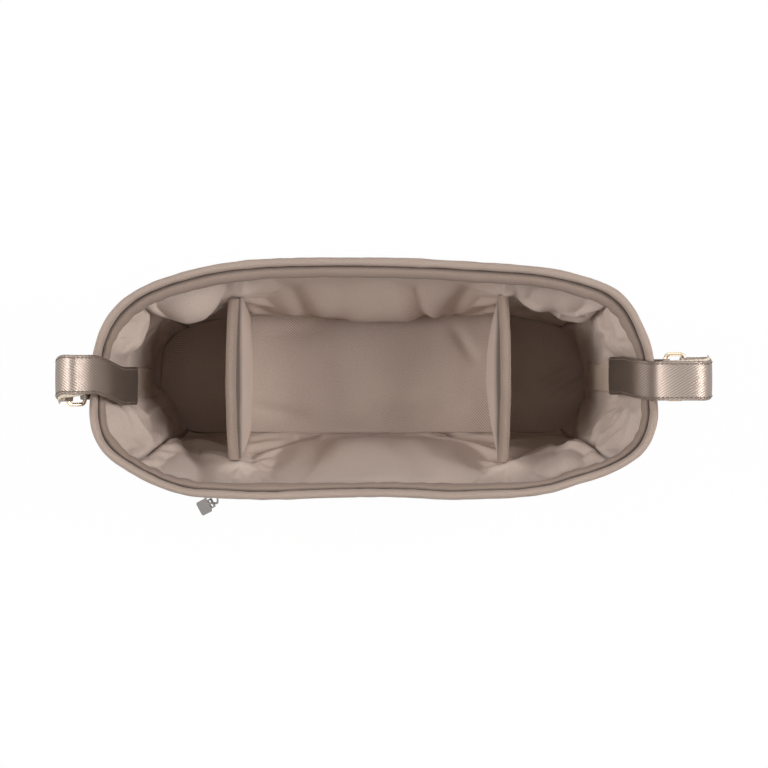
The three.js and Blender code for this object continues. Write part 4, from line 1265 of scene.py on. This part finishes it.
# Straps and tabs, in millimetres: widths and thickness of the webbing and tape
STRAP_WIDTH = 25.0
TAB_WIDTH = 23.0
HOOK_WIDTH = 21.0
WEBBING = 1.3
TAPE = 1.0
# Plies of the solids, the gap between them, the radius round a ring's bar, the sewn ends and two heights
PLY = 1.4
HOOK_PLY = 1.2
AIR = 0.3
EYE = 2.5
SEWN_START = 4.0
SEWN_END = 8.5
TAB_LIFT = 118.0
PAST_RIM_Z = 136.5
# Shares of the strap's route at which its hook tape and its stitches start
HOOK_START = 0.51
STITCH_START = 0.42
# How far the stitches lie from the strap's middle, across it and off it
STITCH_EDGE = 10.6
STITCH_SEAT = 0.68
# How far the hook tape lies behind the strap
HOOK_SEAT = 1.35
# At each end: its sign, the angle in degrees at which the strap leaves its ring, the y that its crown
# follows, and how far the hook tape's start is shifted along y
STRAP_ENDS = {"left": (-1, 62.0, -2.0, -4.4), "right": (1, 8.0, -5.8, 3.8)}
ACROSS = 5
# The rings' wire radius and corner radius in metres
WIRE = 0.0013
RING_CORNER = 0.003
# Points across and down a loop patch, how far its pile stands off the lining and its stitches off the pile,
# and the x from which the lining is sought
PATCH_STEPS = (9, 24)
PILE = 1.3
PATCH_STITCH_SEAT = 0.5
SEEK_X = 110


def box_mm(node):
    """A node's two corners in millimetres."""
    return [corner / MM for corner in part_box(node)]


def middle_y(node):
    """The middle of a node's width, in millimetres."""
    low, high = box_mm(node)
    return (low.y + high.y) / 2


def bar_places(side):
    """The middles of a ring's inner and outer bars, in millimetres."""
    joints = [joint for joint in frame["joints"] if "pos_m" in joint]
    places = {joint["name"]: Vector(joint["pos_m"]) / MM for joint in joints}
    return places[f"ring_{side}_tilt"], places[f"strap_{side}_open"]


def wall_out(sign, y, z):
    """How far the outer wall of an end stands from the tub's middle at a place."""
    loop = ring(z)[0]
    end = loop[loop[:, 0] * sign > 0.8 * RIM["half"]]
    end = end[np.argsort(end[:, 1])]
    return float(np.interp(y, end[:, 1], np.abs(end[:, 0])))


def strap_route(side):
    """The strap's centre line: sewn round the ring's outer bar, over the rim and down to its hook strip."""
    sign, leave, top_y, _ = STRAP_ENDS[side]
    low, high = box_mm(f"strap_{side}")
    hook_low, hook_high = box_mm(f"hook_strip_{side}")
    ring_y, leg_y = middle_y(f"tab_{side}"), middle_y(f"hook_strip_{side}")
    bar = bar_places(side)[1]
    turn = math.radians(leave)
    loop_out, loop_top = max(-low.x, high.x) - PLY / 2, high.z - PLY / 2
    rim_edge = wall_out(sign, ring_y, HEIGHT)
    halfway = (bar.z + loop_top) / 2
    near, far = sorted((abs(hook_low.x), abs(hook_high.x)))
    slope = (far - near - HOOK_PLY) / (hook_high.z - hook_low.z)

    def from_bar(along, across):
        out = abs(bar.x) + along * math.cos(turn) - across * math.sin(turn)
        return out, ring_y, bar.z + along * math.sin(turn) + across * math.cos(turn)

    def leg(y, z):
        return near - AIR - PLY / 2 + slope * (z - hook_low.z), y, z

    points = [from_bar(SEWN_END - AIR, EYE - PLY - AIR), from_bar(SEWN_START, -EYE / 2)]
    for angle in np.linspace(-0.5, -1.5, 5) * math.pi:
        points.append(from_bar(EYE * math.cos(angle), EYE * math.sin(angle)))
    points += [
        from_bar(SEWN_START, EYE),
        from_bar(SEWN_END, EYE),
        (loop_out - 1.6, ring_y, halfway - 3),
        (loop_out, (ring_y + top_y) / 2, halfway + 2),
        (loop_out - 4, top_y, loop_top - 3.5),
        (loop_out - 11, top_y, loop_top),
        (rim_edge + 1, top_y, loop_top - 4),
        (rim_edge - 5.5, top_y, loop_top - 12),
        leg((top_y + leg_y) / 2, PAST_RIM_Z),
    ]
    points += [leg(leg_y, z) for z in np.linspace(hook_high.z, low.z, 3)]
    return smooth_route([(sign * out, y, z) for out, y, z in points], 5)


def tab_route(side, sign):
    """The tab's centre line: up the outer wall, round the ring's inner bar and down in a second layer."""
    low = box_mm(f"tab_{side}")[0]
    y = middle_y(f"tab_{side}")
    bar = bar_places(side)[0]
    neck = abs(bar.x) - EYE - 0.6
    middle = (low.z + TAB_LIFT) / 2

    def on_wall(z, layer, ease=0.0):
        return wall_out(sign, y, z) + AIR + PLY / 2 + layer * (PLY + AIR) + ease, z

    points = [on_wall(z, 0) for z in (low.z, middle, TAB_LIFT)] + [(neck, bar.z - 5)]
    for angle in np.linspace(1, -0.25, 6) * math.pi:
        points.append((abs(bar.x) + EYE * math.cos(angle), bar.z + EYE * math.sin(angle)))
    points += [
        (neck + PLY + AIR + EYE, bar.z - 5.6),
        on_wall(TAB_LIFT - 1, 1, 0.5),
        on_wall(middle, 1, 0.1),
        on_wall(low.z + 3, 1, 0.1),
    ]
    return smooth_route([(sign * out, y, z) for out, z in points], 5)


def between(first, second, start, end, t):
    """The place at t on the line that is at first at start and at second at end."""
    return first * (end - t) / (end - start) + second * (t - start) / (end - start)


def smooth_route(points, steps):
    """A centripetal Catmull-Rom curve through points."""
    p = np.asarray(points, float)
    p = np.vstack([2 * p[0] - p[1], p, 2 * p[-1] - p[-2]])
    out = []
    for a, b, c, d in zip(p[:-3], p[1:-2], p[2:-1], p[3:]):
        gaps = [math.sqrt(np.linalg.norm(q - r)) for q, r in ((b, a), (c, b), (d, c))]
        k0, k1, k2, k3 = np.concatenate([[0], np.cumsum(gaps)])
        for t in k1 + (k2 - k1) * np.linspace(0, 1, steps, endpoint=False):
            ab, bc, cd = between(a, b, k0, k1, t), between(b, c, k1, k2, t), between(c, d, k2, k3, t)
            abc, bcd = between(ab, bc, k0, k2, t), between(bc, cd, k1, k3, t)
            out.append(between(abc, bcd, k1, k2, t))
    return np.array(out + [p[-2]])


def route_sides(route):
    """Unit vectors square to a route in its side view, to the left of its run."""
    along = np.gradient(route, axis=0)
    side = np.column_stack([-along[:, 2], np.zeros(len(route)), along[:, 0]])
    return side / np.linalg.norm(side, axis=1)[:, None]


def ribbon(name, route, width, lift=0.0, bow=0.0, across=7):
    """A woven band along a route, its width along Y."""
    side = route_sides(route)
    rows = []
    for s in np.linspace(-1, 1, across):
        rows.append(route + side * (lift - bow * s * s) + np.array([0, s * width / 2, 0]))
    return loft(name, np.array(rows), closed=False)


def wire_ring(name, depth, length, corner, radius):
    """A rectangle of round wire, swept from a circle by extruding its bars and spinning its corners."""
    deselect()
    x, y = depth / 2, length / 2
    bpy.ops.mesh.primitive_circle_add(
        vertices=16, radius=radius, location=(x, -y + corner, 0), rotation=(math.pi / 2, 0, 0)
    )
    piece = bpy.context.object
    piece.name = piece.data.name = name
    bpy.ops.object.transform_apply(location=True, rotation=True, scale=True)
    bpy.ops.object.mode_set(mode="EDIT")
    bpy.ops.mesh.select_all(action="SELECT")
    reach_x, reach_y = x - corner, y - corner
    turns = (
        ((0, 2 * reach_y, 0), (reach_x, reach_y, 0)),
        ((-2 * reach_x, 0, 0), (-reach_x, reach_y, 0)),
        ((0, -2 * reach_y, 0), (-reach_x, -reach_y, 0)),
        ((2 * reach_x, 0, 0), (reach_x, -reach_y, 0)),
    )
    for run, centre in turns:
        bpy.ops.mesh.extrude_region_move(TRANSFORM_OT_translate={"value": run})
        bpy.ops.mesh.spin(steps=8, angle=-math.pi / 2, center=centre, axis=(0, 0, 1))
    bpy.ops.mesh.select_all(action="SELECT")
    bpy.ops.mesh.remove_doubles(threshold=1e-5)
    bpy.ops.mesh.normals_make_consistent(inside=False)
    bpy.ops.object.mode_set(mode="OBJECT")
    bpy.ops.object.shade_smooth()
    return piece


def webbing_strap(side, sign, route):
    """The strap's webbing, bowed a little across."""
    strap = ribbon(f"strap_{side}_webbing", route, STRAP_WIDTH, bow=-0.25 * sign)
    thicken(strap, WEBBING, 0)
    dress(strap, finish("strap_webbing"), f"{side}_strap", "webbing", f"strap_{side}")


def hook_tape(side, sign, route):
    """The hook tape behind the strap, shifted where it starts so that its edge shows."""
    arch = route[int(HOOK_START * len(route)) :]
    tape = ribbon(f"hook_tape_{side}", arch, HOOK_WIDTH, lift=HOOK_SEAT * sign, across=ACROSS)
    fade = np.exp(-((np.linspace(0, 1, len(arch)) / 0.5) ** 4))
    points = points_of(tape).reshape(ACROSS, len(arch), 3)
    points[:, :, 1] += (STRAP_ENDS[side][3] * fade * MM)[None]
    tape.data.vertices.foreach_set("co", points.ravel())
    thicken(tape, TAPE, 0)
    dress(tape, finish("hook_tape"), f"{side}_strap", "hook_and_loop", f"hook_strip_{side}")


def strap_stitches(side, sign, route):
    """A row of stitches along both edges of the strap."""
    out = route_sides(route) * -sign
    start = int(STITCH_START * len(route))
    seat = route + out * STITCH_SEAT
    lines = [(seat + np.array([0, edge, 0]))[start:] for edge in (-STITCH_EDGE, STITCH_EDGE)]
    outs = [out[start:]] * 2
    name = f"strap_{side}_stitches"
    sew(name, lines, outs, f"{side}_strap", "webbing", pitch=3.1, width=0.8, proud=0.17)


def webbing_tab(side, sign):
    """The tab that holds the ring."""
    fold = tab_route(side, sign)
    tab = ribbon(f"tab_{side}_webbing", fold, TAB_WIDTH, across=ACROSS)
    thicken(tab, WEBBING, 0)
    dress(tab, finish("strap_webbing"), TUB, "webbing", f"tab_{side}")


def metal_ring(side):
    """The ring between the tab and the strap."""
    low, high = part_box(f"ring_{side}")
    inner, outer = (place * MM for place in bar_places(side))
    long_side = high.y - low.y - 2 * WIRE
    loop = wire_ring(f"ring_{side}_metal", (outer - inner).length, long_side, RING_CORNER, WIRE)
    tilt = math.atan2(outer.z - inner.z, outer.x - inner.x)
    loop.data.transform(Matrix.Translation((inner + outer) / 2) @ Matrix.Rotation(-tilt, 4, "Y"))
    dress(loop, finish("pale_gold"), f"{side}_ring", "ring_metal", f"ring_{side}")


def loop_patch(side, sign, table):
    """The loop patch laid on the end's lining, stitched along its sides and its foot."""
    low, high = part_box(f"loop_patch_{side}")
    ys = np.linspace(low.y / MM, high.y / MM, PATCH_STEPS[0])
    zs = np.linspace(high.z / MM, low.z / MM, PATCH_STEPS[1])
    off = Vector((sign * PILE, 0, 0))
    rows = [[tuple(hit(table, (sign * SEEK_X, y, z), (sign, 0, 0)) - off) for z in zs] for y in ys]
    patch = loft(f"loop_patch_{side}_pile", rows, closed=False, inside=sign > 0)
    thicken(patch, TAPE, 0)
    dress(patch, finish("loop_pile"), TUB, "hook_and_loop", f"loop_patch_{side}")
    grid = np.array(rows) - np.array([sign * PATCH_STITCH_SEAT, 0, 0])
    borders = [0.5 * (grid[0] + grid[1]), 0.5 * (grid[-1] + grid[-2]), grid[1:-1, -2]]
    outs = [(-sign, 0, 0.2)] * 3
    sew(f"loop_patch_{side}_stitches", borders, outs, TUB, "hook_and_loop", pitch=2.9)


class ORGANIZER_OT_straps(bpy.types.Operator):
    """Make the webbing straps with their hook strips, tabs, rings and loop patches"""

    bl_idname = "organizer.straps"
    bl_label = "Straps"

    def execute(self, context):
        table = ray_table(bpy.data.objects["lining_wall"])
        for side, (sign, *_) in STRAP_ENDS.items():
            route = strap_route(side)
            webbing_strap(side, sign, route)
            hook_tape(side, sign, route)
            strap_stitches(side, sign, route)
            webbing_tab(side, sign)
            metal_ring(side)
            loop_patch(side, sign, table)
        return {"FINISHED"}


# Zip: a tape's length and width in metres, the wall's lean beside it, and points along a tape
TAPE_WIDTH = 0.0105
ZIP_LEAN = 0.133
TAPE_STEPS = 90
# Pieces that bend with the tapes: node, finish and slot
BENT = (
    ("zip_teeth_upper", "zip_tooth", "zip_teeth"),
    ("zip_teeth_lower", "zip_tooth", "zip_teeth"),
    ("zip_bottom_stop", "grey_metal", "zip_metal"),
)


def zip_tape(row):
    """One of the zip's tapes, from the chain's edge outwards."""
    low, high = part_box(f"zip_tape_{row}")
    xs = np.linspace(low.x, high.x, TAPE_STEPS) / MM
    inner, way = (low.z, 1) if row == "upper" else (high.z, -1)
    rows = []
    for reach in np.linspace(0, TAPE_WIDTH, 6) * way:
        y = (low.y + high.y) / 2 - (inner + reach - (low.z + high.z) / 2) * ZIP_LEAN
        level = np.full(TAPE_STEPS, (inner + reach) / MM)
        rows.append(np.column_stack([xs, y / MM + zip_bend(xs), level]))
    tape = loft(f"zip_{row}_tape", np.array(rows), closed=False)
    thicken(tape, ZIP_CLOTH, 0, 0)
    dress(tape, finish("zip_tape_cloth"), TUB, "zip_tape", f"zip_tape_{row}")


def bent_copy(name, kind, slot):
    """A copy of a zip node that bends with the tapes."""
    piece = bpy.data.objects.new(f"{name}_bent", frame["nodes"][name].data.copy())
    bpy.context.scene.collection.objects.link(piece)
    with editing(piece):
        bpy.ops.mesh.remove_doubles(threshold=1e-6)
    for vertex in piece.data.vertices:
        vertex.co.y += float(zip_bend(vertex.co.x / MM)) * MM
    bpy.ops.object.shade_smooth_by_angle(angle=math.radians(35))
    dress(piece, finish(kind), TUB, slot, name)


class ORGANIZER_OT_zip(bpy.types.Operator):
    """Lay the zip's tapes in the slot and finish its metal and teeth"""

    bl_idname = "organizer.zip"
    bl_label = "Zip"

    def execute(self, context):
        for row in ("upper", "lower"):
            zip_tape(row)
        for name, kind, slot in BENT:
            bent_copy(name, kind, slot)
        for name in ("zip_top_stop_upper", "zip_top_stop_lower", "zip_slider", "zip_puller"):
            materials = frame["nodes"][name].data.materials
            materials.clear()
            materials.append(finish("grey_metal"))
        return {"FINISHED"}


# Stage: the dome's light, the floor's and camera's places in metres, and the lamps
DOME = 0.10
FLOOR_GLOW = 0.965
FLOOR_DROP = 0.0006
CAMERA_X = 0.0066
CAMERA_Y = -0.0078
SENSOR = 36
AIM = Vector((0, 0, 0.06))
# Lamp name, place, size and watts
LAMPS = (
    ("left_softbox", (-1.45, 0.15, 1.27), 1.0, 25.0),
    ("right_softbox", (1.45, 0.15, 1.27), 1.0, 29.0),
    ("back_softbox", (0.0, 1.9, 1.4), 1.2, 7.5),
    ("front_softbox", (0.0, -1.9, 1.5), 1.2, 11.0),
)


def studio_floor():
    """The floor, which glows white where it is looked at."""
    deselect()
    bpy.ops.mesh.primitive_plane_add(size=12, location=(0, 0, -FLOOR_DROP))
    floor = bpy.context.object
    floor.name = "studio_floor"
    paint = Paint(bpy.data.materials.new("studio_floor"))
    grain = paint.noise(paint.add("TexCoord", out="Object"), 3.0)
    paint.set(
        Base_Color=paint.tinted(colours().floor, 1 + (grain - 0.5) * 0.02),
        Roughness=0.9,
    )
    glow = paint.add("Emission", None, {"Color": (1, 1, 1, 1), "Strength": 1.0})
    lit = Socket(paint, paint.shader.outputs[0])
    mixed = paint.add("MixShader", None, {0: paint.seen() * FLOOR_GLOW, 1: lit, 2: glow})
    paint.tree.links.new(mixed.socket, paint.tree.nodes["Material Output"].inputs["Surface"])
    floor.data.materials.append(paint.owner)


def studio_world():
    """A dim white dome that is seen as plain white."""
    world = bpy.context.scene.world = bpy.data.worlds.new("studio_world")
    sky = Paint(world, "Background")
    sky.set(Color=(1, 1, 1, 1), Strength=DOME + sky.seen() * (1 - DOME))


def softbox(name, place, size, watts):
    """A round lamp that looks at the tub's middle."""
    bpy.ops.object.light_add(type="AREA", location=place)
    lamp = bpy.context.object
    lamp.name = name
    lamp.data.shape = "DISK"
    lamp.data.size = size
    lamp.data.energy = watts
    lamp.rotation_euler = (AIM - Vector(place)).to_track_quat("-Z", "Y").to_euler()


def photo_camera():
    """The camera that looks straight down."""
    place = (CAMERA_X, CAMERA_Y, sizes().camera_height)
    bpy.ops.object.camera_add(location=place, rotation=(0, 0, 0))
    camera = bpy.context.object
    camera.name = "photo_camera"
    camera.data.lens = sizes().lens
    camera.data.sensor_width = SENSOR
    bpy.context.scene.camera = camera


class ORGANIZER_OT_stage(bpy.types.Operator):
    """Set the floor, lights and camera"""

    bl_idname = "organizer.stage"
    bl_label = "Stage"

    def execute(self, context):
        context.scene.view_settings.view_transform = "Standard"
        studio_floor()
        studio_world()
        for lamp in LAMPS:
            softbox(*lamp)
        photo_camera()
        return {"FINISHED"}


class ORGANIZER_PT_panel(bpy.types.Panel):
    """Buttons for the organizer's pieces"""

    bl_idname = "ORGANIZER_PT_panel"
    bl_label = "Stroller organizer"
    bl_space_type = "VIEW_3D"
    bl_region_type = "UI"
    bl_category = "Organizer"

    def draw(self, context):
        for operator in STEPS:
            self.layout.operator(operator.bl_idname)
        for group in (context.scene.organizer_sizes, context.scene.organizer_colours):
            for key in group.__annotations__:
                self.layout.prop(group, key)


STEPS = (
    ORGANIZER_OT_stage, ORGANIZER_OT_outer, ORGANIZER_OT_lining, ORGANIZER_OT_rim, ORGANIZER_OT_dividers,
    ORGANIZER_OT_straps, ORGANIZER_OT_zip,
)
CLASSES = (OrganizerSizes, OrganizerColours) + STEPS + (ORGANIZER_PT_panel,)


def register():
    """Adds the classes and the scene's properties."""
    for cls in CLASSES:
        bpy.utils.register_class(cls)
    bpy.types.Scene.organizer_sizes = PointerProperty(type=OrganizerSizes)
    bpy.types.Scene.organizer_colours = PointerProperty(type=OrganizerColours)


def unregister():
    """Takes the properties and classes out again."""
    del bpy.types.Scene.organizer_colours
    del bpy.types.Scene.organizer_sizes
    for cls in reversed(CLASSES):
        bpy.utils.unregister_class(cls)


def main():
    """Builds the stage and every piece."""
    register()
    bpy.ops.organizer.stage()
    bpy.ops.organizer.outer()
    bpy.ops.organizer.lining()
    bpy.ops.organizer.rim()
    bpy.ops.organizer.dividers()
    bpy.ops.organizer.straps()
    bpy.ops.organizer.zip()


if __name__ == "__main__":
    main()
